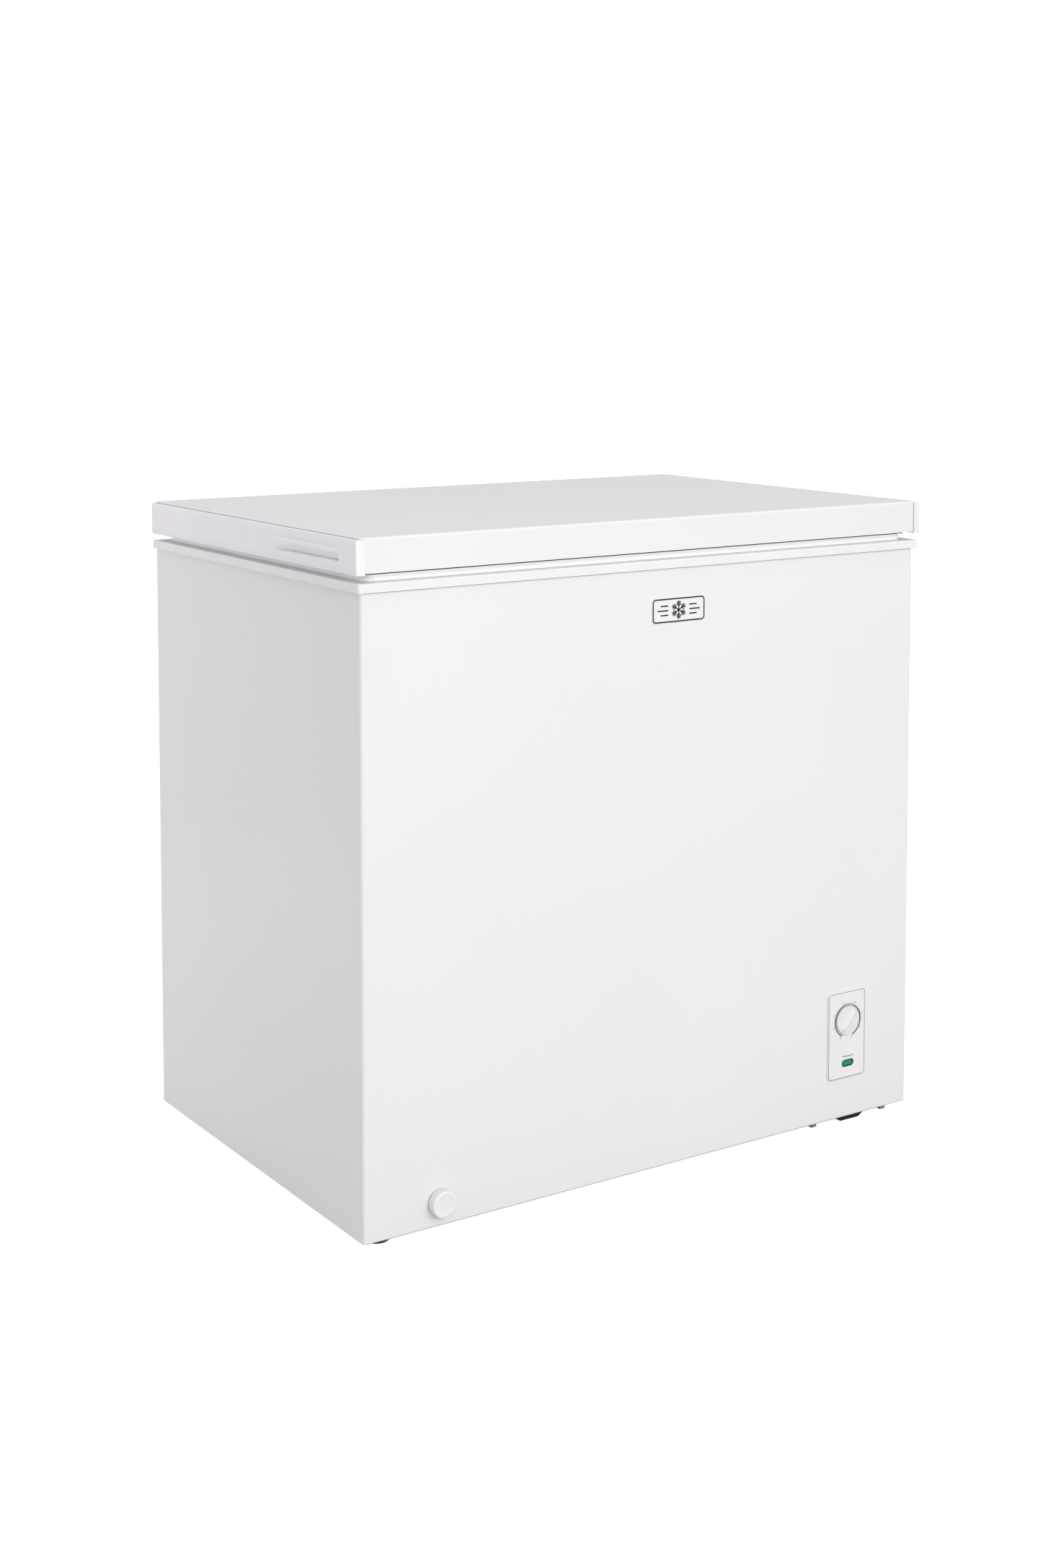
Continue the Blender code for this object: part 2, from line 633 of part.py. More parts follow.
def refrigerant_lines():
    z = 0.150
    y = COMP_Y - 0.0845
    suction = [(COMP_X + 0.024, y + 0.006, z), (COMP_X + 0.024, y - 0.030, z),
               (COMP_X + 0.024, y - 0.030, 0.245), (0.200, y - 0.030, 0.245),
               (0.200, 0.150, 0.245), (0.200, 0.150, 0.272)]
    paint(tube("suction_line", rounded_path(suction, 0.010), 0.0034, 2), COPPER)
    discharge = [(COMP_X - 0.022, y + 0.004, z), (COMP_X - 0.022, y - 0.050, z),
                 (COMP_X - 0.022, y - 0.050, 0.2200), (0.222, y - 0.050, 0.2200),
                 (0.222, 0.205, 0.2200), (0.222, 0.205, 0.272)]
    paint(tube("discharge_line", rounded_path(discharge, 0.009), 0.0025, 2), COPPER)
    drier = [(0.0, 0.250), (0.0030, 0.250), (0.0032, 0.238), (0.0085, 0.228), (0.0090, 0.222),
             (0.0090, 0.150), (0.0085, 0.144), (0.0022, 0.134), (0.0020, 0.120), (0.0, 0.120)]
    paint(turned("filter_drier", drier, "Z", (0.200, 0.205, 0.0), 20), COPPER)
    coil = helix(0.2000, 0.235, 0.016, 0.070, 0.0034, 6, 9)
    paint(tube("capillary_tube", coil, 0.0010, 0), COPPER)


def rear_vent_cover():
    y0 = BACK + GAP
    ob = solid("rear_vent_cover", box(0.160, 0.4240, y0, y0 + 0.0016, 0.0220, 0.2980,
                                      0.004, "Y", 2))
    for row in range(11):
        z = 0.066 + 0.0185 * row
        for x in (0.182, 0.298):
            cut(ob, box(x, x + 0.102, y0 - 0.01, y0 + 0.01, z, z + 0.0070))
    cut(ob, rod("Y", (0.200, 0.0, 0.043), 0.0068, y0 - 0.01, y0 + 0.01, 20))
    return paint(ob, GALVANISED)


def power_inlet_gland():
    profile = [(0.0, 0.0120), (0.0062, 0.0120), (0.0062, 0.0), (0.0100, 0.0), (0.0098, -0.0040),
               (0.0068, -0.0050), (0.0050, -0.0090), (0.0, -0.0090)]
    y = BACK + GAP + 0.0016 + GAP
    return paint(turned("power_inlet_gland", profile, "Y", (0.200, y, 0.043), 20), RUBBER)


def cover_screw(name, x, z):
    profile = [(0.0, 0.0), (0.0042, 0.0), (0.0040, -0.0008), (0.0025, -0.0020), (0.0, -0.0022)]
    y = BACK + GAP + 0.0016 + GAP
    return paint(turned(name, profile, "Y", (x, y, z), 16), ZINC)


# ---------------------------------------------------------------- feet
def round_foot(name, x, y):
    profile = [(0.0, 0.0187), (0.0125, 0.0187), (0.0135, 0.0080), (0.0160, 0.0050),
               (0.0165, 0.0010), (0.0155, 0.0), (0.0, 0.0)]
    return paint(turned(name, profile, "Z", (x, y, 0.0), 28), DARK_PLASTIC)


def block_foot(name, y):
    """Rubber block that narrows towards the floor."""
    x0, x1, slope = 0.3235, 0.3725, 0.0085
    outline = [(x0 + slope, 0.0), (x1 - slope, 0.0), (x1, 0.0050), (x1, 0.0197), (x0, 0.0197),
               (x0, 0.0050)]
    return paint(plate(name, [outline], "Y", y - 0.020, y + 0.020), RUBBER)


# ---------------------------------------------------------------- basket
def wire_basket():
    """Open basket of coated wire on the tub's step: a tapered grid turned into wires."""
    x0, x1 = STEP_X + 0.022, TUB_HALF - 0.018
    y0, y1 = TUB_FRONT + 0.030, TUB_BACK - 0.030
    z0, high = STEP_Z + 0.0022, 0.1628
    rows = 3
    start = 0.88
    bm = bmesh.new()
    bmesh.ops.create_grid(bm, x_segments=5, y_segments=8, size=0.5)
    bmesh.ops.scale(bm, verts=bm.verts, vec=((x1 - x0) * start, (y1 - y0) * start, 1.0))
    rim = [e for e in bm.edges if e.is_boundary]
    for k in range(rows):
        made = bmesh.ops.extrude_edge_only(bm, edges=rim)["geom"]
        rim = [g for g in made if isinstance(g, bmesh.types.BMEdge)]
        verts = [g for g in made if isinstance(g, bmesh.types.BMVert)]
        here = start + (1.0 - start) * k / rows
        grow = (start + (1.0 - start) * (k + 1) / rows) / here
        bmesh.ops.scale(bm, verts=verts, vec=(grow, grow, 1.0))
        bmesh.ops.translate(bm, verts=verts, vec=(0.0, 0.0, high / rows))
    bmesh.ops.translate(bm, verts=bm.verts, vec=((x0 + x1) / 2, (y0 + y1) / 2, z0))
    ob = solid("wire_basket", bm)
    mod = ob.modifiers.new("wires", "WIREFRAME")
    mod.thickness = 0.0034
    mod.use_even_offset = False
    mod.use_boundary = True
    mod.use_replace = True
    return paint(ob, WIRE_WHITE)


# ---------------------------------------------------------------- lid
def lid_outer_panel():
    """Folded top skin: shallow lip at the ends, full flange at front and back."""
    x = LID_TOP_HALF
    t = SHEET
    bm = box(-x, x, LID_FRONT, LID_BACK, LID_Z0, LID_Z1, 0.004, "Z", 3)
    top = [e for e in bm.edges if min(v.co.z for v in e.verts) > LID_Z1 - 1e-5]
    round_edges(bm, top, 0.0030, 3)
    ob = solid("lid_outer_panel", bm)
    inside = box(-x + t, x - t, LID_FRONT + t, LID_BACK - t, 0.70, LID_Z1 - t, 0.0031, "Z", 3)
    rim = [e for e in inside.edges if min(v.co.z for v in e.verts) > LID_Z1 - t - 1e-5]
    round_edges(inside, rim, 0.0022, 3)
    cut(ob, inside)
    for side in (-1, 1):
        lo, hi = sorted((side * LID_SKIN_END, side * 0.5))
        cut(ob, box(lo, hi, -0.4, 0.4, 0.70, CAP_TOP + GAP))
    return paint(ob, STEEL_WHITE)


def loft(name, sections, cutter=True):
    """Solid through a row of like-sided sections, each a list of points."""
    bm = bmesh.new()
    rings = [[bm.verts.new(p) for p in section] for section in sections]
    for a, b in zip(rings[:-1], rings[1:]):
        for k in range(len(a)):
            j = (k + 1) % len(a)
            bm.faces.new((a[k], a[j], b[j], b[k]))
    bm.faces.new(rings[0])
    bm.faces.new(rings[-1])
    return solid(name, bm, cutter=cutter)


def grip_scoop(side):
    """Finger scoop: square front end, tapering out toward the back."""
    face = LID_CAP_HALF + 0.001
    z0 = 0.8190
    y0 = FRONT + 0.0365
    sections = []
    for run, s in ((0.0, 1.0), (0.085, 1.0), (0.115, 0.90), (0.135, 0.72), (0.148, 0.48),
                   (0.156, 0.20)):
        depth = 0.0108 * (0.35 + 0.65 * s)
        high = 0.0135 * s
        shape = ((face, z0), (face, z0 + high), (face - depth * 0.12 - 0.001, z0 + high),
                 (face - depth, z0 + high * 0.35), (face - depth, z0))
        sections.append([(side * px, y0 + run, pz) for px, pz in shape])
    return loft("grip_scoop", sections)


def grip_crease(side):
    """Shallow hollow above the scoop whose top edge reads as a crease."""
    face = LID_CAP_HALF + 0.001
    z1 = 0.8378
    y0 = FRONT + 0.0365
    sections = []
    for run, s in ((0.0, 1.0), (0.120, 1.0), (0.165, 0.75), (0.190, 0.30)):
        depth = 0.0030 * s + 0.0004
        shape = ((face, z1), (face - depth, z1 - 0.0006),
                 (face - 0.0010, z1 - 0.0070 * s - 0.001), (face, z1 - 0.0075 * s - 0.0015))
        sections.append([(side * px, y0 + run, pz) for px, pz in shape])
    return loft("grip_crease", sections)


def side_box(side, inner, outer, *rest):
    """Box between two distances from the middle, on the left or the right."""
    lo, hi = sorted((side * inner, side * outer))
    return box(lo, hi, *rest)


def lid_end_cap(name, side):
    """Hollow plastic cap over one end of the lid, with a finger grip in its face."""
    outer = LID_CAP_HALF
    inner = LID_SKIN_END + GAP
    y0, y1 = LID_FRONT, LID_BACK
    bm = side_box(side, inner, outer, y0, y1, CAP_BOTTOM, CAP_TOP)
    corner = [e for e in bm.edges if along(e, "Z") and abs(e.verts[0].co.x) > outer - 1e-5]
    round_edges(bm, corner, 0.0022, 3)
    ob = solid(name, bm)
    cut(ob, side_box(side, 0.3, outer - 0.0030, y0 + 0.0030, y1 - 0.0030,
                     CAP_BOTTOM + 0.0025, CAP_TOP - 0.0025))
    join(ob, side_box(side, inner + 0.0004, outer - 0.0010, FRONT + 0.030, FRONT + 0.205,
                      CAP_BOTTOM + 0.001, CAP_TOP - 0.001))
    cut(ob, grip_scoop(side))
    cut(ob, grip_crease(side))
    return paint(ob, PLASTIC_WHITE)


def lid_foam():
    x = LID_SKIN_END - 0.0012
    bm = box(-x, x, LID_FRONT + 0.0014, LID_BACK - 0.0014, 0.8122, 0.8486, 0.0030, "X", 3)
    return paint(solid("lid_foam", bm), FOAM)


def lid_inner_liner():
    """Flat tray under the foam with a raised stiffening rim."""
    x = LID_SKIN_END - 0.0012
    y0, y1 = LID_FRONT + 0.0014, LID_BACK - 0.0014
    ob = solid("lid_inner_liner", box(-x, x, y0, y1, 0.8086, 0.8119, 0.004, "Z", 2))
    a, b = 0.0500, 0.0700
    join(ob, box(-x + a, x - a, y0 + a, y1 - a, 0.8020, 0.8100, 0.020, "Z", 4))
    cut(ob, box(-x + b, x - b, y0 + b, y1 - b, 0.70, 0.8085, 0.012, "Z", 4))
    return paint(ob, LINER_WHITE)


def gasket_frame(name, grow, low, high, cutter):
    """Rectangular frame centred on the gasket line, `grow` to each side of it."""
    x, y0, y1 = 0.4104, -0.2705, 0.2575
    outer = rounded_rectangle(-x - grow, x + grow, y0 - grow, y1 + grow, 0.0030, 1)
    inner = rounded_rectangle(-x + grow, x - grow, y0 + grow, y1 - grow, 0.0030, 1)
    z = COLLAR_Z1 + GAP
    return plate(name, [outer, inner], "Z", z + low, z + high, cutter)


def lid_gasket():
    """Magnet bulb below, folding web in the middle, mounting flange on top."""
    ob = gasket_frame("lid_gasket", 0.0070, 0.0, 0.0036, False)
    join(ob, gasket_frame("gasket_web", 0.0050, 0.0030, 0.0070, True))
    join(ob, gasket_frame("gasket_fold", 0.0067, 0.0064, 0.0086, True))
    join(ob, gasket_frame("gasket_flange", 0.0056, 0.0080, 0.0107, True))
    return paint(ob, GASKET_GREY)


# ---------------------------------------------------------------- hinges
def hinge_base(name, x):
    """Spring housing screwed to the cabinet back, with two pin lugs at the top."""
    y0, y1 = BACK + GAP, 0.2964
    ob = solid(name, box(x - 0.017, x + 0.017, COLLAR_BACK + GAP, y1, 0.7000, 0.7960))
    join(ob, box(x - 0.026, x + 0.026, y0, COLLAR_BACK + 0.0014, 0.7050, 0.7850, 0.004, "Y", 2))
    cut(ob, box(x - 0.0140, x + 0.0140, COLLAR_BACK + 0.0020, y1 + 0.01, 0.7030, 0.8000))
    for s in (-1, 1):
        lo, hi = sorted((x + s * 0.0141, x + s * 0.0170))
        join(ob, lug(lo, hi))
        cut(ob, rod("X", (0.0, HINGE_Y, HINGE_Z), 0.0028, lo - 0.005, hi + 0.005, 20))
    return paint(ob, ZINC)


def lug(x0, x1):
    r = 0.0066
    low = 0.7900
    outline = [(HINGE_Y - r, low), (HINGE_Y + r, low)]
    outline += arc(HINGE_Y, HINGE_Z, r, 0, 180, 8)
    return plate("lug", [outline], "X", x0, x1, cutter=True)


def hinge_arm(name, x):
    """Knuckle round the pin with a leaf reaching under the lid's rear edge."""
    r = 0.0046
    z0, z1 = 0.8040, 0.8062
    outline = [(0.2670, z0), (HINGE_Y - 0.0035, z0)]
    outline += arc(HINGE_Y, HINGE_Z, r, 205, 475, 16)
    outline += [(HINGE_Y - 0.0040, z1), (0.2670, z1)]
    ob = plate(name, [outline], "X", x - 0.0100, x + 0.0100)
    pivot = Vector((x, HINGE_Y, HINGE_Z))
    ob.data.transform(Matrix.Translation(-pivot) @ ob.matrix_world)
    ob.matrix_world = Matrix.Translation(pivot)
    cut(ob, rod("X", (0.0, HINGE_Y, HINGE_Z), 0.0028, x - 0.02, x + 0.02, 20))
    return paint(ob, ZINC)


def hinge_pin(name, x):
    profile = [(0.0, 0.0188), (0.0040, 0.0188), (0.0040, 0.0173), (0.0025, 0.0173),
               (0.0025, -0.0188), (0.0, -0.0188)]
    return paint(turned(name, profile, "X", (x, HINGE_Y, HINGE_Z), 20), ZINC)


def hinge_spring(name, x):
    coil = helix(x, 0.2893, 0.0048, 0.7052, 0.0080, 9, 9)
    return paint(tube(name, coil, 0.0010, 0), ZINC)


def hinge_cover(name, x):
    """Plastic hood over the spring housing."""
    ob = solid(name, box(x - 0.0300, x + 0.0300, COLLAR_BACK + 0.0018, 0.2990, 0.6920, 0.7880,
                         0.0030, "Z", 3))
    cut(ob, box(x - 0.0185, x + 0.0185, 0.27, 0.2970, 0.6950, 0.8200))
    return paint(ob, PLASTIC_WHITE)


# ---------------------------------------------------------------- assembly
def build():
    outer_cabinet()
    rear_panel()
    bottom_panel()
    machine_bay_panel()
    foam_insulation()
    inner_liner()
    evaporator_coil()
    condenser_coil()
    top_collar()
    badge_plate()

    control_panel()
    thermostat_knob()
    thermostat_body()
    indicator()

    drain_tube()
    drain_spout()
    drain_cap()
    floor_drain_plug()

    compressor_base()
    compressor()
    for index, (dx, dy) in enumerate(MOUNTS):
        mount_rubber("compressor_mount_%d" % (index + 1), dx, dy)
    start_relay_cover()
    refrigerant_lines()
    rear_vent_cover()
    power_inlet_gland()
    screws = ((0.168, 0.036), (0.416, 0.036), (0.168, 0.290), (0.416, 0.290))
    for index, (x, z) in enumerate(screws):
        cover_screw("cover_screw_%d" % (index + 1), x, z)

    round_foot("foot_front_left", -0.3855, -0.2395)
    round_foot("foot_rear_left", -0.3855, 0.2325)
    block_foot("foot_front_right", -0.240)
    block_foot("foot_rear_right", 0.236)

    wire_basket()

    lid_outer_panel()
    lid_end_cap("lid_left_end_cap", -1)
    lid_end_cap("lid_right_end_cap", 1)
    lid_foam()
    lid_inner_liner()
    lid_gasket()

    for label, x in (("left", -HINGE_X), ("right", HINGE_X)):
        hinge_base("hinge_base_" + label, x)
        hinge_arm("hinge_arm_" + label, x)
        hinge_pin("hinge_pin_" + label, x)
        hinge_spring("hinge_spring_" + label, x)
        hinge_cover("hinge_cover_" + label, x)


build()
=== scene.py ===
"""Looks of the chest freezer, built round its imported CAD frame.

Metres, +Z up, the front faces -Y. Each CAD node gets a procedural material, or is replaced by
a mesh made here, where its shape matters to the eye.
"""
import math

import bmesh
import bpy
from mathutils import Matrix, Vector


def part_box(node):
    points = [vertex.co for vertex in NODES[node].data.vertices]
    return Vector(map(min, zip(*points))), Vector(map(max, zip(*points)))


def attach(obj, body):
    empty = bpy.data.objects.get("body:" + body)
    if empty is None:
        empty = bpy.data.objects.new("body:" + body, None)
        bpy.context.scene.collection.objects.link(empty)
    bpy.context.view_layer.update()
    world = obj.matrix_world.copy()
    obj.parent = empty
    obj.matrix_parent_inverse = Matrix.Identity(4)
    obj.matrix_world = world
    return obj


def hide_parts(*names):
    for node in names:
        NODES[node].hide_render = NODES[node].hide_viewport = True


# ---------------------------------------------------------------- frame and driving sizes
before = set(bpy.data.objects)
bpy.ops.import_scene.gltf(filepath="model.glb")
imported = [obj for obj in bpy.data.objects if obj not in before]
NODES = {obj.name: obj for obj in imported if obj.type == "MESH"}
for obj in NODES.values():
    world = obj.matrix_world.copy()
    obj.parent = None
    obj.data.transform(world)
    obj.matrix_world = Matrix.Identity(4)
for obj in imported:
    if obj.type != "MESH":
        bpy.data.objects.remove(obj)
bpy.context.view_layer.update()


def middle_xz(low, high):
    """Middle of a box, seen from the front."""
    return (low.x + high.x) / 2, (low.z + high.z) / 2


CABINET_LOW, CABINET_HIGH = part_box("outer_cabinet")
FRONT = CABINET_LOW.y
COLLAR_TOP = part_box("top_collar")[1].z
COLLAR_SKIRT = COLLAR_TOP - 0.0111   # lower edge of the collar's skirt
PANEL_LOW, PANEL_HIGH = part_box("control_panel")
PANEL_FACE = PANEL_LOW.y
PANEL_X, PANEL_Z = middle_xz(PANEL_LOW, PANEL_HIGH)
KNOB_LOW, KNOB_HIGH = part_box("thermostat_knob")
KNOB_X, KNOB_Z = middle_xz(KNOB_LOW, KNOB_HIGH)
LENS_LOW, LENS_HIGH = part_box("indicator_lens")

SHARP = 32.0                     # degrees: edges bent more than this stay crisp
INK_LIFT = 0.00012               # how far printed marks stand off a face
NEAR = 1e-5                      # two heights or depths count as the same within this
ON_FACE = 1e-6                   # a vertex counts as lying in the cap's side within this
CAD_WELD = 0.00002               # vertices of CAD meshes closer than this are merged
CURVE_WELD = 0.000004            # the same for curves turned into meshes

CAP_SEAM = {-1: -0.0002, 1: 0.0009}   # how far the end caps stand back from the skin
CAP_CORNER = 0.0022              # radius of the caps' upright corners
CAP_RIM = 0.0009                 # radius of the caps' upper and lower rims
SHADE_LINE_HEIGHT = 0.0008                   # height of the shadow lines along joints
GRIP_START = 0.0365              # lid grip: square end, distance behind the cabinet front
GRIP_RUN = 0.158                 # length of the grip, back to its tip
GRIP_TIP = 0.062                 # length over which it rises from the tip
GRIP_FLOOR = 0.8194              # height of the ledge
GRIP_HIGH = 0.0105               # height of the hollow above the ledge
GRIP_DEPTH = 0.0088              # depth of the hollow at the ledge
GRIP_HOLLOW = 1.4                # power with which it gets shallower upwards
CREASE_Z = 0.8372                # height of the crease above the hollow
CREASE_RUN = 0.192               # length of the crease, from the same end
CREASE_FADE = 0.07               # length over which it fades out
CREASE_HIGH = 0.0056             # how far it reaches down from there
CREASE_DEPTH = 0.0013
CREASE_PARTS = 8.0               # it goes in over one of so many parts, and out over the rest
GRIP_EDGE = 0.0002               # mesh of the grip: lines this close on both sides of its end
GRIP_LEDGE = 0.00005             # line just over the ledge
GRIP_COLUMN, GRIP_COLUMNS = 0.0030, 64
GRIP_ROW, GRIP_ROWS = 0.0006, 31

DIAL_RING = 0.0221               # mid radius of the ring round the dial
RING_HIGH = 0.0013               # how far that ring stands up
DIGIT_RING = 0.0257              # radius on which the numbers stand
DIGIT_SIZE = 0.0042
DIGIT_ANGLES = (-152, -109, -66, -18, 29, 77, 119, 163)
POINTER = 40.0                   # degrees the grip bar leans clockwise from upright
DIAL_FACE = 0.0034               # height of the dial's face at its middle
DIAL_DOME = 0.0008               # how much lower it is at the edge
BAR_HIGH = 0.0038                # height of the grip bar over the face
BAR_REACH = 0.0163               # distance from the middle to the bar's ends
BAR_END = 0.0009                 # how softly those ends fall off
BAR_SKEW = 0.0008                # how far the bar's ridge is off the middle
BAR_SLOPES = 0.0046, 0.0026      # widths of its two flanks


# ---------------------------------------------------------------- materials
class Look:
    """A Principled material with small helpers for procedural detail."""

    def __init__(self, name, colour, roughness, **sockets):
        self.mat = bpy.data.materials.new(name)
        self.mat.use_nodes = True
        self.tree = self.mat.node_tree
        self.shader = self.tree.nodes["Principled BSDF"]
        self.shader.inputs["Base Color"].default_value = (*colour, 1.0)
        self.shader.inputs["Roughness"].default_value = roughness
        for socket, value in sockets.items():
            self.shader.inputs[socket.replace("_", " ")].default_value = value
        self.place = self.tree.nodes.new("ShaderNodeTexCoord").outputs["Object"]
        self.normal = None

    def link(self, source, target):
        self.tree.links.new(source, target)

    def stretched(self, x, y, z):
        """Texture place, scaled along each axis."""
        node = self.tree.nodes.new("ShaderNodeMapping")
        node.inputs["Scale"].default_value = (x, y, z)
        self.link(self.place, node.inputs["Vector"])
        return node.outputs["Vector"]

    def noise(self, scale, detail=3.0, rough=0.55, place=None):
        node = self.tree.nodes.new("ShaderNodeTexNoise")
        node.inputs["Scale"].default_value = scale
        node.inputs["Detail"].default_value = detail
        node.inputs["Roughness"].default_value = rough
        self.link(place or self.place, node.inputs["Vector"])
        return node.outputs["Fac"]

    def cells(self, scale, feature="F1", output="Distance"):
        node = self.tree.nodes.new("ShaderNodeTexVoronoi")
        node.feature = feature
        node.inputs["Scale"].default_value = scale
        self.link(self.place, node.inputs["Vector"])
        return node.outputs[output]

    def span(self, value, low, high, to_low, to_high):
        """A value moved from one range to another."""
        node = self.tree.nodes.new("ShaderNodeMapRange")
        node.inputs["From Min"].default_value = low
        node.inputs["From Max"].default_value = high
        node.inputs["To Min"].default_value = to_low
        node.inputs["To Max"].default_value = to_high
        self.link(value, node.inputs["Value"])
        return node.outputs["Result"]

    def colours(self, value, *stops):
        """Colour the surface by a value, through (position, colour) stops."""
        node = self.tree.nodes.new("ShaderNodeValToRGB")
        ramp = node.color_ramp
        while len(ramp.elements) < len(stops):
            ramp.elements.new(0.5)
        for element, (position, colour) in zip(ramp.elements, stops):
            element.position = position
            element.color = (*colour, 1.0)
        self.link(value, node.inputs["Fac"])
        self.link(node.outputs["Color"], self.shader.inputs["Base Color"])

    def gloss(self, value, low, high, to_low, to_high):
        """Vary the roughness with a value."""
        self.link(self.span(value, low, high, to_low, to_high), self.shader.inputs["Roughness"])

    def relief(self, height, distance, strength):
        """Add one layer of bump; layers stack."""
        node = self.tree.nodes.new("ShaderNodeBump")
        node.inputs["Distance"].default_value = distance
        node.inputs["Strength"].default_value = strength
        self.link(height, node.inputs["Height"])
        if self.normal is not None:
            self.link(self.normal, node.inputs["Normal"])
        self.normal = node.outputs["Normal"]
        self.link(self.normal, self.shader.inputs["Normal"])


def tint(colour, factor):
    """A paler or darker version of a colour."""
    return tuple(min(1.0, c * factor) for c in colour)


def painted_steel(name, colour):
    """Baked white enamel: faint orange peel and a soft coat."""
    look = Look(name, colour, 0.34, Coat_Weight=0.25, Coat_Roughness=0.18)
    drift = look.noise(2.2, detail=2.0)
    look.colours(drift, (0.30, tint(colour, 0.985)), (0.70, tint(colour, 1.01)))
    look.gloss(look.noise(26.0, detail=4.0), 0.3, 0.7, 0.31, 0.38)
    look.relief(look.noise(420.0, detail=2.0), distance=0.00006, strength=0.35)
    look.relief(look.noise(9.0, detail=1.0), distance=0.0006, strength=0.10)
    return look.mat


def moulded_plastic(name, colour, roughness=0.42, grain=0.45):
    """Injection-moulded plastic with a fine spark-eroded grain."""
    look = Look(name, colour, roughness, IOR=1.46)
    drift = look.noise(14.0)
    look.colours(drift, (0.30, tint(colour, 0.975)), (0.72, tint(colour, 1.01)))
    look.gloss(look.noise(90.0), 0.3, 0.7, roughness - 0.05, roughness + 0.06)
    look.relief(look.noise(2600.0, detail=2.0), distance=0.00005, strength=grain)
    look.relief(look.noise(30.0, detail=1.0), distance=0.0003, strength=0.08)
    return look.mat


def liner_sheet(name, colour):
    """Vacuum-formed liner: satin, with shallow waves and a fine stipple."""
    look = Look(name, colour, 0.38, IOR=1.5)
    look.colours(look.noise(5.0), (0.3, tint(colour, 0.97)), (0.7, tint(colour, 1.01)))
    look.gloss(look.noise(40.0), 0.3, 0.7, 0.32, 0.44)
    look.relief(look.cells(520.0, "SMOOTH_F1"), distance=0.00012, strength=0.35)
    look.relief(look.noise(12.0, detail=1.0), distance=0.0012, strength=0.12)
    return look.mat


def zinc_coated(name, colour):
    """Galvanised sheet: crystal spangle with uneven shine."""
    look = Look(name, colour, 0.42, Metallic=0.92)
    spangle = 260.0
    crystals = look.cells(spangle, output="Color")
    dark, pale = tint(colour, 0.90), tint(colour, 1.08)
    look.colours(crystals, (0.15, dark), (0.5, colour), (0.9, pale))
    look.gloss(crystals, 0.1, 0.9, 0.36, 0.50)
    look.relief(look.cells(spangle), distance=0.0002, strength=0.12)
    look.relief(look.noise(700.0), distance=0.00004, strength=0.3)
    return look.mat


def bare_metal(name, colour, roughness, stain, streak=(1.0, 1.0, 1.0)):
    """Drawn or turned metal with stains and fine drawing lines."""
    look = Look(name, colour, roughness, Metallic=1.0)
    look.colours(look.noise(55.0, detail=5.0, rough=0.65), (0.35, stain), (0.62, colour))
    lines = look.noise(1500.0, detail=2.0, place=look.stretched(*streak))
    look.gloss(lines, 0.3, 0.7, roughness - 0.08, roughness + 0.12)
    look.relief(lines, distance=0.00003, strength=0.4)
    return look.mat


def dark_enamel(name, colour):
    """Thick black paint with dust and a slight orange peel."""
    look = Look(name, colour, 0.36, Coat_Weight=0.3, Coat_Roughness=0.25)
    dust = look.noise(180.0, detail=6.0, rough=0.7)
    look.colours(dust, (0.45, colour), (0.78, tint(colour, 2.3)))
    look.gloss(dust, 0.35, 0.75, 0.30, 0.55)
    look.relief(look.noise(520.0, detail=2.0), distance=0.00012, strength=0.5)
    return look.mat


def rubber(name, colour, roughness=0.72, bloom=0.18, glow=0.0):
    """Matt rubber with bloom and a fine tooth; `glow` is painted light, an even emission that
    lightens pale vinyl lying in shade.
    """
    look = Look(name, colour, roughness, Specular_IOR_Level=0.35,
                Emission_Color=(1.0, 1.0, 1.0, 1.0), Emission_Strength=glow)
    stops = (0.3, tint(colour, 1.0 - bloom)), (0.75, tint(colour, 1.0 + bloom))
    look.colours(look.noise(60.0, detail=5.0, rough=0.6), *stops)
    look.gloss(look.noise(140.0), 0.3, 0.7, roughness - 0.1, roughness + 0.1)
    look.relief(look.noise(1600.0), distance=0.00006, strength=0.5)
    return look.mat


def rigid_foam(name, colour):
    """Polyurethane foam: closed cells, a mottled cream colour."""
    look = Look(name, colour, 0.95, Specular_IOR_Level=0.2)
    mottle = look.noise(45.0, detail=6.0, rough=0.65)
    look.colours(mottle, (0.3, tint(colour, 0.82)), (0.7, tint(colour, 1.06)))
    look.relief(look.cells(900.0), distance=0.0004, strength=0.6)
    return look.mat


def green_plastic(name, colour):
    """Translucent green lens, lit a little from behind."""
    look = Look(name, colour, 0.16, Transmission_Weight=0.25, IOR=1.49,
                Emission_Color=(0.0, 0.42, 0.25, 1.0), Emission_Strength=0.06)
    ribs = look.noise(900.0, detail=1.0, place=look.stretched(1.0, 1.0, 0.08))
    look.colours(ribs, (0.3, tint(colour, 0.86)), (0.7, tint(colour, 1.12)))
    look.relief(ribs, distance=0.00008, strength=0.35)
    return look.mat


def lamp_glass(name, colour):
    """Clear glass with a faint colour and slight waves."""
    look = Look(name, colour, 0.08, Transmission_Weight=0.8, IOR=1.5)
    look.colours(look.noise(300.0, detail=2.0), (0.3, tint(colour, 0.9)), (0.7, colour))
    look.relief(look.noise(200.0, detail=1.0), distance=0.0001, strength=0.2)
    return look.mat


def ink(name, colour):
    """Screen-printed ink with slightly uneven cover; the same flat colour also draws the painted
    shade lines and the painted lens recess shade.
    """
    look = Look(name, colour, 0.45)
    cover = look.noise(1900.0, detail=4.0, rough=0.6)
    look.colours(cover, (0.3, tint(colour, 0.85)), (0.75, tint(colour, 1.25)))
    look.relief(look.noise(2400.0, detail=2.0), distance=0.00002, strength=0.4)
    return look.mat


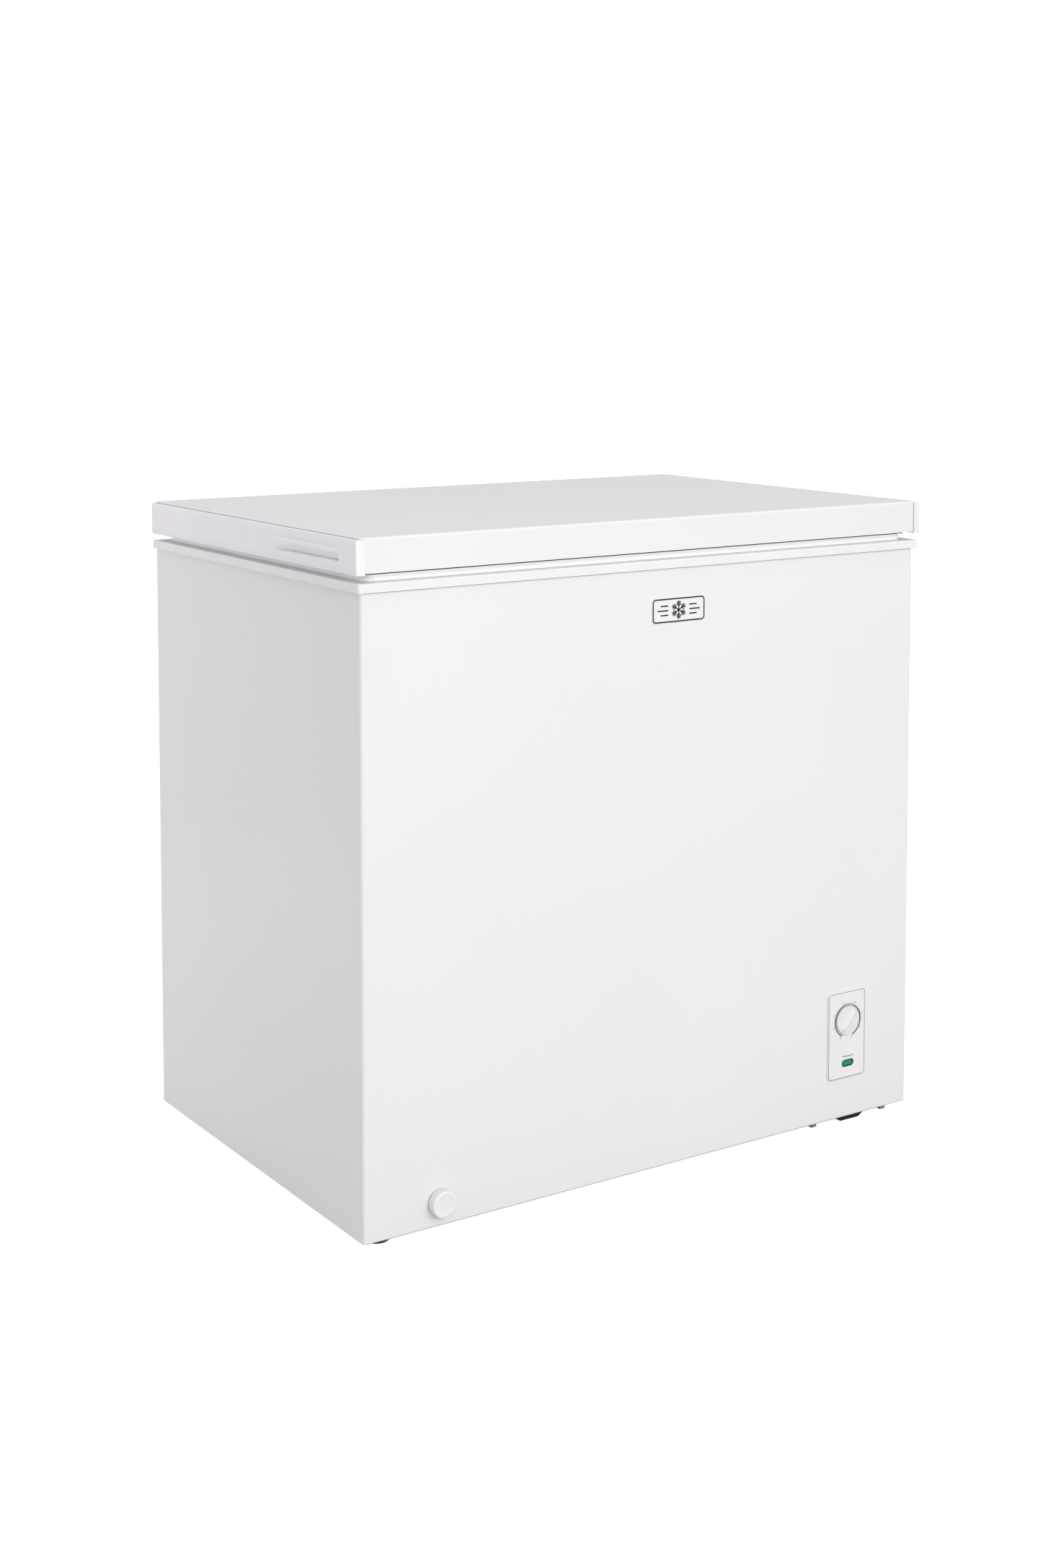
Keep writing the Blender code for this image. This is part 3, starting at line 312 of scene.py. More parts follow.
ENAMEL = painted_steel("white enamel", (0.865, 0.865, 0.858))
PLASTIC = moulded_plastic("white plastic", (0.875, 0.875, 0.868))
# Painted light: the same white plastic as the right cap, made paler and lilac to stand for the
# light on the lid's left side.
PAINTED_LIGHT_CAP_PLASTIC = moulded_plastic("lid cap plastic painted lighter", (0.930, 0.922, 0.945), 0.40, grain=0.35)
LINER = liner_sheet("liner", (0.84, 0.85, 0.855))
GALVANISED = zinc_coated("galvanised sheet", (0.60, 0.61, 0.62))
ZINC = bare_metal("zinc plate", (0.70, 0.70, 0.68), 0.34, stain=(0.55, 0.55, 0.52),
                  streak=(1.0, 0.1, 1.0))
COPPER = bare_metal("copper", (0.78, 0.42, 0.27), 0.30, stain=(0.50, 0.25, 0.16),
                    streak=(0.2, 1.0, 1.0))
ALUMINIUM = bare_metal("aluminium", (0.78, 0.79, 0.80), 0.36, stain=(0.66, 0.67, 0.68))
BLACK = dark_enamel("black enamel", (0.022, 0.022, 0.024))
RUBBER = rubber("black rubber", (0.030, 0.030, 0.031))
# The seal's glow is painted light: it lightens the pale vinyl in the shaded gap under the lid.
GASKET = rubber("gasket vinyl", (0.92, 0.925, 0.93), 0.55, bloom=0.01, glow=0.07)
KNOB_PLASTIC = moulded_plastic("knob plastic", (0.83, 0.825, 0.81), 0.32, grain=0.25)
DARK_PLASTIC = moulded_plastic("dark plastic", (0.060, 0.060, 0.064), 0.5)
FOAM = rigid_foam("rigid foam", (0.80, 0.72, 0.50))
GREEN = green_plastic("green lens", (0.008, 0.30, 0.18))
# Painted shade: the dark green of the recess round the indicator lens.
LENS_RECESS_SHADE = ink("painted lens recess shade", (0.002, 0.035, 0.025))
LAMP = lamp_glass("lamp glass", (0.80, 0.88, 0.75))
WIRE = moulded_plastic("coated wire", (0.86, 0.865, 0.865), 0.34, grain=0.2)
BADGE = moulded_plastic("badge plate", (0.875, 0.875, 0.87), 0.25, grain=0.1)
BLACK_INK = ink("black ink", (0.010, 0.010, 0.012))
GREY_INK = ink("grey ink", (0.085, 0.083, 0.083))
PALE_INK = ink("pale ink", (0.11, 0.11, 0.11))
# Painted shadow: dark line round the control panel's edge.
SHADOW_LINE = ink("panel painted shade line", (0.22, 0.21, 0.20))
# Painted shade: pale and dark strips in the lid's seams, on the seal, under the collar and along
# the hem.
PALE_SHADE_LINE = ink("pale painted shade line", (0.44, 0.43, 0.44))
DARK_SHADE_LINE = ink("dark painted shade line", (0.045, 0.045, 0.047))


# ---------------------------------------------------------------- dressing CAD nodes
def dress(names, look):
    """Give CAD nodes a material and weld their doubled vertices."""
    for name in names.split():
        ob = NODES[name]
        ob.material_slots[0].material = look
        weld = ob.modifiers.new("weld", "WELD")
        weld.merge_threshold = CAD_WELD


dress("outer_cabinet lid_outer_panel", ENAMEL)
dress("top_collar control_panel drain_tube drain_spout", PLASTIC)
dress("inner_liner lid_inner_liner", LINER)
dress("rear_panel bottom_panel machine_bay_panel compressor_base", GALVANISED)
dress("foam_insulation lid_foam", FOAM)
dress("suction_line discharge_line filter_drier capillary_tube", COPPER)
dress("evaporator_coil", ALUMINIUM)
dress("condenser_coil compressor", BLACK)
dress("compressor_mount_1 compressor_mount_2 compressor_mount_3 compressor_mount_4", RUBBER)
dress("power_inlet_gland foot_front_right foot_rear_right", RUBBER)
dress("foot_front_left foot_rear_left start_relay_cover floor_drain_plug", DARK_PLASTIC)
dress("thermostat_body", ZINC)
for side in ("left", "right"):
    for kind in ("base", "arm", "pin", "spring"):
        dress("hinge_%s_%s" % (kind, side), ZINC)
dress("indicator_lamp", LAMP)
dress("badge_plate", BADGE)


# ---------------------------------------------------------------- mesh helpers
def piece(name, bm, body, look, replaced=(), sharp=SHARP):
    """Make a bmesh in the row frame into a shown piece that rides on a body."""
    bmesh.ops.recalc_face_normals(bm, faces=bm.faces)
    mesh = bpy.data.meshes.new(name)
    bm.to_mesh(mesh)
    bm.free()
    mesh.materials.append(look)
    mesh.shade_smooth()
    mesh.set_sharp_from_angle(angle=math.radians(sharp))
    ob = bpy.data.objects.new(name, mesh)
    bpy.context.scene.collection.objects.link(ob)
    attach(ob, body)
    if replaced:
        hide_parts(*replaced)


def along(edge, axis):
    """Whether an edge runs along X, Y or Z."""
    d = (edge.verts[1].co - edge.verts[0].co).normalized()
    return abs(d["XYZ".index(axis)]) > 0.999


def round_edges(bm, edges, radius, segments):
    bmesh.ops.bevel(bm, geom=edges, offset=radius, segments=segments, profile=0.5,
                    affect="EDGES", clamp_overlap=True)


def block(x0, x1, y0, y1, z0, z1):
    """Box between two limits on each axis."""
    bm = bmesh.new()
    bmesh.ops.create_cube(bm, size=1.0)
    bmesh.ops.scale(bm, verts=bm.verts, vec=(x1 - x0, y1 - y0, z1 - z0))
    bmesh.ops.translate(bm, verts=bm.verts, vec=((x0 + x1) / 2, (y0 + y1) / 2, (z0 + z1) / 2))
    return bm


def bake_curve(curve, matrix):
    """Mesh of a curve as a bmesh in the row frame, welded."""
    ob = bpy.data.objects.new(curve.name, curve)
    bpy.context.scene.collection.objects.link(ob)
    ob.matrix_world = matrix
    bpy.context.view_layer.update()
    graph = bpy.context.evaluated_depsgraph_get()
    mesh = bpy.data.meshes.new_from_object(ob.evaluated_get(graph))
    bm = bmesh.new()
    bm.from_mesh(mesh)
    bmesh.ops.transform(bm, matrix=matrix, verts=bm.verts)
    bmesh.ops.remove_doubles(bm, verts=bm.verts, dist=CURVE_WELD)
    bpy.data.objects.remove(ob, do_unlink=True)
    bpy.data.curves.remove(curve)
    bpy.data.meshes.remove(mesh)
    return bm


def facing_front(x, y, z):
    """Places a flat drawing at a point, upright and facing -Y."""
    return Matrix.Translation((x, y, z)) @ Matrix.Rotation(math.radians(90), 4, "X")


def flat(outlines, matrix, thick, edge=0.0):
    """Flat drawing with holes, extruded to a thickness, with softened edges."""
    curve = bpy.data.curves.new("flat", "CURVE")
    curve.dimensions = "2D"
    curve.fill_mode = "BOTH"
    curve.extrude = thick / 2
    curve.bevel_depth = edge
    curve.bevel_resolution = 1
    curve.offset = -edge
    for outline in outlines:
        spline = curve.splines.new("POLY")
        spline.points.add(len(outline) - 1)
        for point, (u, v) in zip(spline.points, outline):
            point.co = (u, v, 0.0, 1.0)
        spline.use_cyclic_u = True
    return bake_curve(curve, matrix)


def wires(paths, radius, resolution, closed=False):
    """Round wires along paths in the row frame."""
    curve = bpy.data.curves.new("wires", "CURVE")
    curve.dimensions = "3D"
    curve.bevel_depth = radius
    curve.bevel_resolution = resolution
    curve.use_fill_caps = True
    for path in paths:
        spline = curve.splines.new("POLY")
        spline.points.add(len(path) - 1)
        for point, place in zip(spline.points, path):
            point.co = (*place, 1.0)
        spline.use_cyclic_u = closed
    return bake_curve(curve, Matrix.Identity(4))


def add(bm, other):
    """Move the faces of another bmesh into this one."""
    mesh = bpy.data.meshes.new("part")
    other.to_mesh(mesh)
    other.free()
    bm.from_mesh(mesh)
    bpy.data.meshes.remove(mesh)
    return bm


def arc(cx, cy, r, a0, a1, steps):
    """Points on an arc, from one angle in degrees to another."""
    angles = (math.radians(a0 + (a1 - a0) * k / steps) for k in range(steps + 1))
    return [(cx + r * math.cos(a), cy + r * math.sin(a)) for a in angles]


def rounded_rectangle(half_w, half_h, r, steps=8):
    """Rectangle with round corners, from its half width and half height."""
    w, h = half_w - r, half_h - r
    return (arc(w, -h, r, -90, 0, steps) + arc(w, h, r, 0, 90, steps)
            + arc(-w, h, r, 90, 180, steps) + arc(-w, -h, r, 180, 270, steps))


def bridge(bm, rings):
    """Join each ring of vertices to the next one with four-sided faces."""
    for a, b in zip(rings[:-1], rings[1:]):
        for k in range(len(a)):
            j = (k + 1) % len(a)
            bm.faces.new((a[k], a[j], b[j], b[k]))


def lathe(profile, steps, teeth=None):
    """Closed turned solid about local Z from (radius, height) points, top to bottom."""
    bm = bmesh.new()
    rings = []
    for r, h in profile:
        if r == 0.0:
            rings.append([bm.verts.new((0.0, 0.0, h))])
            continue
        ring = []
        for k in range(steps):
            a = 2.0 * math.pi * k / steps
            here = r * (teeth(k, r, h) if teeth else 1.0)
            ring.append(bm.verts.new((here * math.cos(a), here * math.sin(a), h)))
        rings.append(ring)
    for upper, lower in zip(rings[:-1], rings[1:]):
        for k in range(steps):
            corners = [upper[k % len(upper)], upper[(k + 1) % len(upper)],
                       lower[(k + 1) % len(lower)], lower[k % len(lower)]]
            face = list(dict.fromkeys(corners))
            if len(face) > 2:
                bm.faces.new(face)
    return bm


def subtract(bm, *tools):
    """Cut bmeshes out of a bmesh with exact Booleans."""
    objects = []
    for source in (bm, *tools):
        bmesh.ops.recalc_face_normals(source, faces=source.faces)
        mesh = bpy.data.meshes.new("boolean")
        source.to_mesh(mesh)
        source.free()
        ob = bpy.data.objects.new("boolean", mesh)
        bpy.context.scene.collection.objects.link(ob)
        objects.append(ob)
    for tool in objects[1:]:
        mod = objects[0].modifiers.new("cut", "BOOLEAN")
        mod.object = tool
        mod.operation = "DIFFERENCE"
        mod.solver = "EXACT"
    bpy.context.view_layer.update()
    graph = bpy.context.evaluated_depsgraph_get()
    done = bpy.data.meshes.new_from_object(objects[0].evaluated_get(graph))
    out = bmesh.new()
    out.from_mesh(done)
    for ob in objects:
        bpy.data.objects.remove(ob, do_unlink=True)
    return out


# ---------------------------------------------------------------- lid end caps
def grip_depth(run, z):
    """Depth of the finger grip in the cap's face, `run` back from its square end."""
    if run < 0.0 or run > CREASE_RUN:
        return 0.0
    fade = min(1.0, (CREASE_RUN - run) / CREASE_FADE)
    drop = (CREASE_Z - z) / CREASE_HIGH
    crease = 0.0
    if 0.0 < drop < 1.0:
        steep, gentle = CREASE_PARTS, CREASE_PARTS - 1.0
        crease = CREASE_DEPTH * fade * min(drop * steep, (1.0 - drop) * steep / gentle)
    left = GRIP_RUN - run
    if left <= 0.0:
        return crease
    t = min(1.0, left / GRIP_TIP)
    rise = math.sqrt(1.0 - (1.0 - t) ** 2)
    high = GRIP_HIGH * rise
    up = z - GRIP_FLOOR
    if up < 0.0 or up > high:
        return crease
    return crease + GRIP_DEPTH * rise * (1.0 - up / high) ** GRIP_HOLLOW


def zone_faces(bm, side, outer, y0, y1, z0, z1):
    """Faces of the cap's outer side whose middles lie in a rectangle."""
    found = []
    for face in bm.faces:
        c = face.calc_center_median()
        on_side = all(side * v.co.x > outer - ON_FACE for v in face.verts)
        if on_side and y0 < c.y < y1 and z0 < c.z < z1:
            found.append(face)
    return found


def slice_zone(bm, faces, where, normal):
    """Cut faces along a plane, without removing anything, always in the same order."""
    edges = dict.fromkeys(e for f in faces for e in f.edges)
    verts = dict.fromkeys(v for f in faces for v in f.verts)
    bmesh.ops.bisect_plane(bm, geom=[*faces, *edges, *verts], dist=1e-7, plane_co=where,
                           plane_no=normal)


def lid_cap(node, side, look):
    """End cap with rounded corners and a sculpted finger grip."""
    low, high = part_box(node)
    outer = max(abs(low.x), abs(high.x))
    inner = min(abs(low.x), abs(high.x))
    x0, x1 = sorted((side * (inner + CAP_SEAM[side]), side * outer))
    bm = block(x0, x1, low.y, high.y, low.z, high.z)
    upright = [e for e in bm.edges if along(e, "Z") and side * e.verts[0].co.x > outer - NEAR]
    round_edges(bm, upright, CAP_CORNER, segments=5)
    past_seam = inner + 0.002
    rims = [e for e in bm.edges
            if not along(e, "Z") and all(side * v.co.x > past_seam for v in e.verts)
            and (all(v.co.z > high.z - NEAR for v in e.verts)
                 or all(v.co.z < low.z + NEAR for v in e.verts))]
    round_edges(bm, rims, CAP_RIM, segments=3)

    # A fine grid over the grip and its crease, and a little beyond them.
    y0 = FRONT + GRIP_START
    zone = (y0 - 0.0015, y0 + CREASE_RUN + 0.004, GRIP_FLOOR - 0.0010, CREASE_Z + 0.0016)
    anywhere = (-1.0, 1.0, 0.0, 1.0)
    across, level = (0, 1, 0), (0, 0, 1)
    for where, normal in (((0, zone[0], 0), across), ((0, zone[1], 0), across),
                          ((0, 0, zone[2]), level), ((0, 0, zone[3]), level)):
        slice_zone(bm, zone_faces(bm, side, outer, *anywhere), where, normal)
    columns = [y0 - GRIP_EDGE, y0 + GRIP_EDGE]
    columns += [y0 + GRIP_COLUMN * k for k in range(1, GRIP_COLUMNS)]
    rows = [GRIP_FLOOR - GRIP_EDGE, GRIP_FLOOR + GRIP_LEDGE]
    rows += [GRIP_FLOOR + GRIP_ROW * k for k in range(1, GRIP_ROWS)]
    for y in columns:
        slice_zone(bm, zone_faces(bm, side, outer, *zone), (0, y, 0), across)
    for z in rows:
        slice_zone(bm, zone_faces(bm, side, outer, *zone), (0, 0, z), level)
    for v in bm.verts:
        if side * v.co.x > outer - ON_FACE and zone[0] < v.co.y < zone[1]:
            v.co.x -= side * grip_depth(v.co.y - y0, v.co.z)

    name = "cap_shell_left" if side < 0 else "cap_shell_right"
    piece(name, bm, "lid", look, (node,), sharp=24)


# Painted light: the left cap takes the paler, lilac copy of the white plastic, and the right cap
# takes the plain one.
lid_cap("lid_left_end_cap", -1, PAINTED_LIGHT_CAP_PLASTIC)
lid_cap("lid_right_end_cap", 1, PLASTIC)


# ---------------------------------------------------------------- shadow lines in joints
def joint_lines():
    """Thin dark strips of painted shade where two casings meet, under the collar and along the
    hem.
    """
    skin_low, skin_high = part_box("lid_outer_panel")
    cap_low, cap_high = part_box("lid_right_end_cap")
    front = skin_low.y
    thick, end, clear = 0.0003, 0.004, 0.0001   # strip thickness, length left free, gap to the cap
    z = cap_high.z + clear
    # Painted shade: a pale grey strip along the top seam between skin and cap, where the skin's
    # edge lies in shade.
    for side, name in ((-1, "left"), (1, "right")):
        x0, x1 = sorted((side * skin_high.x, side * (skin_high.x + thick)))
        top = block(x0, x1, front + end, skin_high.y - end, z, z + SHADE_LINE_HEIGHT)
        piece("cap_shade_line_" + name, top, "lid", PALE_SHADE_LINE)
    # Painted shadow: a dark upright strip in the right cap's seam on the front, where the skin's
    # end casts shade.
    x0, x1 = cap_low.x - 0.0002, cap_low.x + CAP_SEAM[1] - clear
    z0, z1 = skin_low.z + 0.001, cap_high.z - 0.003
    upright = block(x0, x1, front + 0.0004, front + end, z0, z1)
    piece("cap_shade_line_front", upright, "lid", DARK_SHADE_LINE)

    # Painted shadow: a dark strip along the seal's top, where the lid's skin shades the gasket.
    low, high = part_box("lid_gasket")
    near, far = 0.0003, 0.0009                  # from the outline of the seal inwards
    z1 = high.z - 0.0010
    z0 = z1 - 2.2 * SHADE_LINE_HEIGHT
    seam = block(low.x, high.x, low.y + near, low.y + far, z0, z1)
    for side in (-1, 1):
        x0, x1 = sorted((side * (high.x - near), side * (high.x - far)))
        add(seam, block(x0, x1, low.y + far, high.y, z0, z1))
    piece("gasket_shade_line", seam, "lid", DARK_SHADE_LINE)

    # Painted shadow: a pale grey strip under the collar's skirt on the front.
    reach = CABINET_HIGH.x - 0.0042             # to the start of the shell's bend
    y0, y1 = FRONT - 0.0002, FRONT + thick
    skirt = block(-reach, reach, y0, y1, COLLAR_SKIRT - 1.7 * SHADE_LINE_HEIGHT, COLLAR_SKIRT - thick)
    piece("collar_shade_line", skirt, "cabinet", PALE_SHADE_LINE)
    # Painted shade: a pale grey line along the cabinet's bottom hem on the front.
    hem = block(-reach, reach, y0, y1, CABINET_LOW.z, CABINET_LOW.z + SHADE_LINE_HEIGHT)
    piece("hem_shade_line", hem, "cabinet", PALE_SHADE_LINE)


joint_lines()


# ---------------------------------------------------------------- lid gasket
def gasket():
    """Magnet bulb with two bellows folds, swept round the lid."""
    low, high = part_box("lid_gasket")
    half = 0.0070                    # half the width of the section
    bend = 0.0085                    # radius of the corners
    steps = 6                        # sections per corner, less one
    # One side of the section, from the bottom up: distance out, height.
    side = [(0.0066, 0.0), (0.0070, 0.0005), (0.0070, 0.0048), (0.0064, 0.0054),
            (0.0052, 0.0058), (0.0051, 0.0062), (0.0066, 0.0070), (0.0067, 0.0078),
            (0.0052, 0.0084), (0.0051, 0.0089), (0.0060, 0.0094), (0.0060, 0.0106)]
    profile = side + [(-o, h) for o, h in side[::-1]]
    w = (high.x - low.x) / 2 - half
    h = (high.y - low.y) / 2 - half
    middle = (high.y + low.y) / 2
    bm = bmesh.new()
    rings = []
    corners = ((w - bend, -h + bend, -90), (w - bend, h - bend, 0),
               (-w + bend, h - bend, 90), (-w + bend, -h + bend, 180))
    for cx, cy, start in corners:
        for k in range(steps + 1):
            a = math.radians(start + 90.0 / steps * k)
            n = Vector((math.cos(a), math.sin(a), 0.0))
            centre = Vector((cx, cy + middle, low.z)) + n * bend
            rings.append([bm.verts.new(centre + n * o + Vector((0, 0, up))) for o, up in profile])
    bridge(bm, rings + rings[:1])
    piece("gasket_bellows", bm, "lid", GASKET, ("lid_gasket",), sharp=45)


gasket()


# ---------------------------------------------------------------- badge
def badge_marks():
    """Rounded outline with a snowflake between bars: a generic sign for a freezer."""
    low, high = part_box("badge_plate")
    cx, cz = middle_xz(low, high)
    w, h = (high.x - low.x) / 2, (high.z - low.z) / 2
    y = low.y - INK_LIFT / 2
    where = facing_front(cx, y, cz)
    outside, inside = 0.0002, 0.0019                  # rim: distances in from the plate's edge
    rim = flat([rounded_rectangle(w - outside, h - outside, 0.0050),
                rounded_rectangle(w - inside, h - inside, 0.0034)], where, INK_LIFT)
    piece("badge_outline", rim, "cabinet", BLACK_INK)

    start, pitch, half_high, corner = 0.0165, 0.0058, 0.00085, 0.0007
    bars = bmesh.new()
    for side in (-1, 1):
        for row, reach in ((-1, 0.0060), (0, 0.0085), (1, 0.0060)):
            at = facing_front(cx + side * (start + reach), y, cz + row * pitch)
            add(bars, flat([rounded_rectangle(reach, half_high, corner, 3)], at, INK_LIFT))
    piece("badge_bars", bars, "cabinet", BLACK_INK)

    arm, bar, rise = 0.0112, 0.00075, 0.8             # arm length, half line width, twig slope
    flake = bmesh.new()
    for k in range(6):
        turn = Matrix.Rotation(math.radians(60 * k), 4, "Z")
        strokes = [((0.0, 0.0), (0.0, arm))]
        for at, reach in ((0.45, 0.0030), (0.72, 0.0024)):
            for s in (-1, 1):
                strokes.append(((0.0, arm * at), (s * reach, arm * at + reach * rise)))
        for (ax, ay), (bx, by) in strokes:
            d = Vector((bx - ax, by - ay)).normalized() * bar
            n = Vector((-d.y, d.x))
            corners = [(ax - d.x + n.x, ay - d.y + n.y), (ax - d.x - n.x, ay - d.y - n.y),
                       (bx + d.x - n.x, by + d.y - n.y), (bx + d.x + n.x, by + d.y + n.y)]
            add(flake, flat([corners], where @ turn, INK_LIFT))
    piece("badge_snowflake", flake, "cabinet", BLACK_INK)


badge_marks()


# ---------------------------------------------------------------- control panel
def polar(angle, r):
    """Point at a clockwise angle from upright, round the dial."""
    a = math.radians(angle)
    return r * math.sin(a), r * math.cos(a)


def panel_outline(name, half, outer, inner, look, thick, edge=0.0):
    """Rounded frame on the panel; outer and inner give its margin and corner radius."""
    centre = facing_front(PANEL_X, PANEL_FACE - INK_LIFT / 2, PANEL_Z)
    outlines = [rounded_rectangle(half[0] - margin, half[1] - margin, corner)
                for margin, corner in (outer, inner)]
    piece(name, flat(outlines, centre, thick, edge), "cabinet", look)


def dial_ring():
    """Ring round the dial, thicker at its start and at the upper right."""
    steps = 84
    first, last = -153.0, 159.0                       # degrees clockwise from upright
    thin = 0.00030                                    # half width, and the two swellings
    swellings = ((0.00034, 62.0, 30.0), (0.00030, -150.0, 16.0))
    outer, inside = [], []
    for k in range(steps + 1):
        angle = first + (last - first) * k / steps
        half = thin
        for extra, middle, spread in swellings:
            half += extra * math.exp(-((angle - middle) / spread) ** 2)
        outer.append(polar(angle, DIAL_RING + half))
        inside.append(polar(angle, DIAL_RING - half))
    where = facing_front(KNOB_X, PANEL_FACE - RING_HIGH / 2, KNOB_Z)
    ring = flat([outer + inside[::-1]], where, RING_HIGH)
    piece("dial_ring", ring, "cabinet", GREY_INK)


def panel_marks():
    """Painted shade line and raised line round the panel, ring and numbers round the dial, dashes
    over the lens.
    """
    half = (PANEL_HIGH.x - PANEL_LOW.x) / 2, (PANEL_HIGH.z - PANEL_LOW.z) / 2
    # Painted shadow: a dark line just inside the panel's edge stands for the shade of the gap
    # round the panel.
    panel_outline("panel_outline", half, (0.0009, 0.0052), (0.0016, 0.0045), SHADOW_LINE,
                  INK_LIFT)
    panel_outline("panel_raised_line", half, (0.0026, 0.0044), (0.0034, 0.0038), PLASTIC,
                  0.0005, 0.0001)
    dial_ring()

    face = PANEL_FACE - INK_LIFT / 2
    digits = bmesh.new()
    for number, angle in enumerate(DIGIT_ANGLES):
        text = bpy.data.curves.new("digit", "FONT")
        text.body = str(number)
        text.size = DIGIT_SIZE
        text.extrude = INK_LIFT / 2
        text.align_x = "CENTER"
        text.align_y = "CENTER"
        u, v = polar(angle, DIGIT_RING)
        add(digits, bake_curve(text, facing_front(KNOB_X + u, face, KNOB_Z + v)))
    piece("dial_numbers", digits, "cabinet", PALE_INK)

    lens_x, lens_z = middle_xz(LENS_LOW, LENS_HIGH)
    first, pitch, above = -0.0080, 0.0032, 0.0096
    dash = rounded_rectangle(0.0012, 0.00060, 0.0003, 3)
    marks = bmesh.new()
    for k in range(6):
        where = facing_front(lens_x + (first + pitch * k), face, lens_z + above)
        add(marks, flat([dash], where, INK_LIFT))
    piece("lens_marks", marks, "cabinet", GREY_INK)


def stadium(half, r):
    """Slot shape with round ends."""
    steps = 12
    return arc(half - r, 0.0, r, -90, 90, steps) + arc(-half + r, 0.0, r, 90, 270, steps)


def indicator():
    """Domed lens in a dark green rim, which is painted shade for the recess round the lens."""
    low, high = LENS_LOW, LENS_HIGH
    cx, cz = middle_xz(low, high)
    half, r = (high.x - low.x) / 2, (high.z - low.z) / 2
    depth, lip, sunk = 0.0030, 0.0009, 0.0004
    y = low.y + depth / 2 + sunk
    # Painted shade: the near-black green rim stands for the shadow in the slot round the lens.
    rim = flat([stadium(half, r), stadium(half - lip, r - lip)],
               facing_front(cx, y - sunk, cz), depth, 0.0001)
    piece("lens_recess_shade", rim, "cabinet", LENS_RECESS_SHADE)
    dome = flat([stadium(half - lip - 0.0002, r - lip - 0.0003)],
                facing_front(cx, y + sunk, cz - 0.0002), depth, 0.0006)
    piece("lens_dome", dome, "cabinet", GREEN, ("indicator_lens",))


def dial_height(u, v, radius):
    """Height of the dial's face at a point: a low dome with the grip bar across it."""
    lean = math.radians(POINTER)
    along_bar = u * math.sin(lean) + v * math.cos(lean)
    across = u * math.cos(lean) - v * math.sin(lean)
    dome = DIAL_FACE - DIAL_DOME * (math.hypot(u, v) / radius) ** 2
    end = 1.0 / (1.0 + math.exp((abs(along_bar) - BAR_REACH) / BAR_END))
    skew = across - BAR_SKEW
    slope = BAR_SLOPES[0] if skew < 0 else BAR_SLOPES[1]
    return dome + BAR_HIGH * end * math.exp(-((skew / slope) ** 2))


def knob():
    """Dial with a domed face and a soft diagonal grip bar."""
    radius = (KNOB_HIGH.x - KNOB_LOW.x) / 2 - 0.0002
    rings, steps = 22, 72
    bm = bmesh.new()
    centre = bm.verts.new((0.0, 0.0, dial_height(0.0, 0.0, radius)))
    grid = []
    for i in range(1, rings + 1):
        r = radius * i / rings
        ring = []
        for k in range(steps):
            a = 2.0 * math.pi * k / steps
            u, v = r * math.cos(a), r * math.sin(a)
            ring.append(bm.verts.new((u, v, dial_height(u, v, radius))))
        grid.append(ring)
    for lift, r in ((0.0020, radius + 0.00018), (0.0004, radius + 0.0002), (0.0, radius)):
        ring = []
        for k in range(steps):
            a = 2.0 * math.pi * k / steps
            ring.append(bm.verts.new((r * math.cos(a), r * math.sin(a), lift)))
        grid.append(ring)
    for k in range(steps):
        bm.faces.new((centre, grid[0][k], grid[0][(k + 1) % steps]))
    bridge(bm, grid)
    bm.faces.new(grid[-1])
    where = facing_front(KNOB_X, KNOB_HIGH.y, KNOB_Z)
    bmesh.ops.transform(bm, matrix=where, verts=bm.verts)
    piece("dial_knob", bm, "thermostat_dial", KNOB_PLASTIC,
          ("thermostat_knob",), sharp=40)


panel_marks()
indicator()
knob()


# ---------------------------------------------------------------- drain
def drain_cap():
    """Milled cap with a rounded rim and a shallow dished face."""
    low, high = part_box("drain_cap")
    cx, cz = middle_xz(low, high)
    depth = high.y - low.y
    radius = (high.x - low.x) / 2
    bore, wall = 0.0108, 0.0030
    # Radius and height, from the middle of the face over the rim and back into the bore.
    profile = [(0.0, -0.0007), (0.0108, -0.0007), (0.0116, -0.0005), (0.0120, -0.0001),
               (0.0134, 0.0), (0.0152, -0.0002), (0.0160, -0.0007), (radius - 0.0001, -0.0016),
               (radius, -0.0026), (radius, -depth + 0.0016), (radius - 0.0002, -depth + 0.0008),
               (radius - 0.0008, -depth), (0.0110, -depth), (bore, -depth + 0.0004),
               (bore, -wall), (0.0, -wall)]
    tooth, depth_of_tooth = 4, 0.034          # steps per tooth, part of the radius

    def teeth(k, r, h):
        if r < radius - 0.0003 or h > -0.002:
            return 1.0
        return 1.0 - depth_of_tooth * (0.5 + 0.5 * math.cos(2.0 * math.pi * k / tooth))

    bm = lathe(profile, 144, teeth)
    bmesh.ops.transform(bm, matrix=facing_front(cx, low.y, cz), verts=bm.verts)
    piece("drain_cap_milled", bm, "drain_turn", PLASTIC, ("drain_cap",),
          sharp=28)


drain_cap()


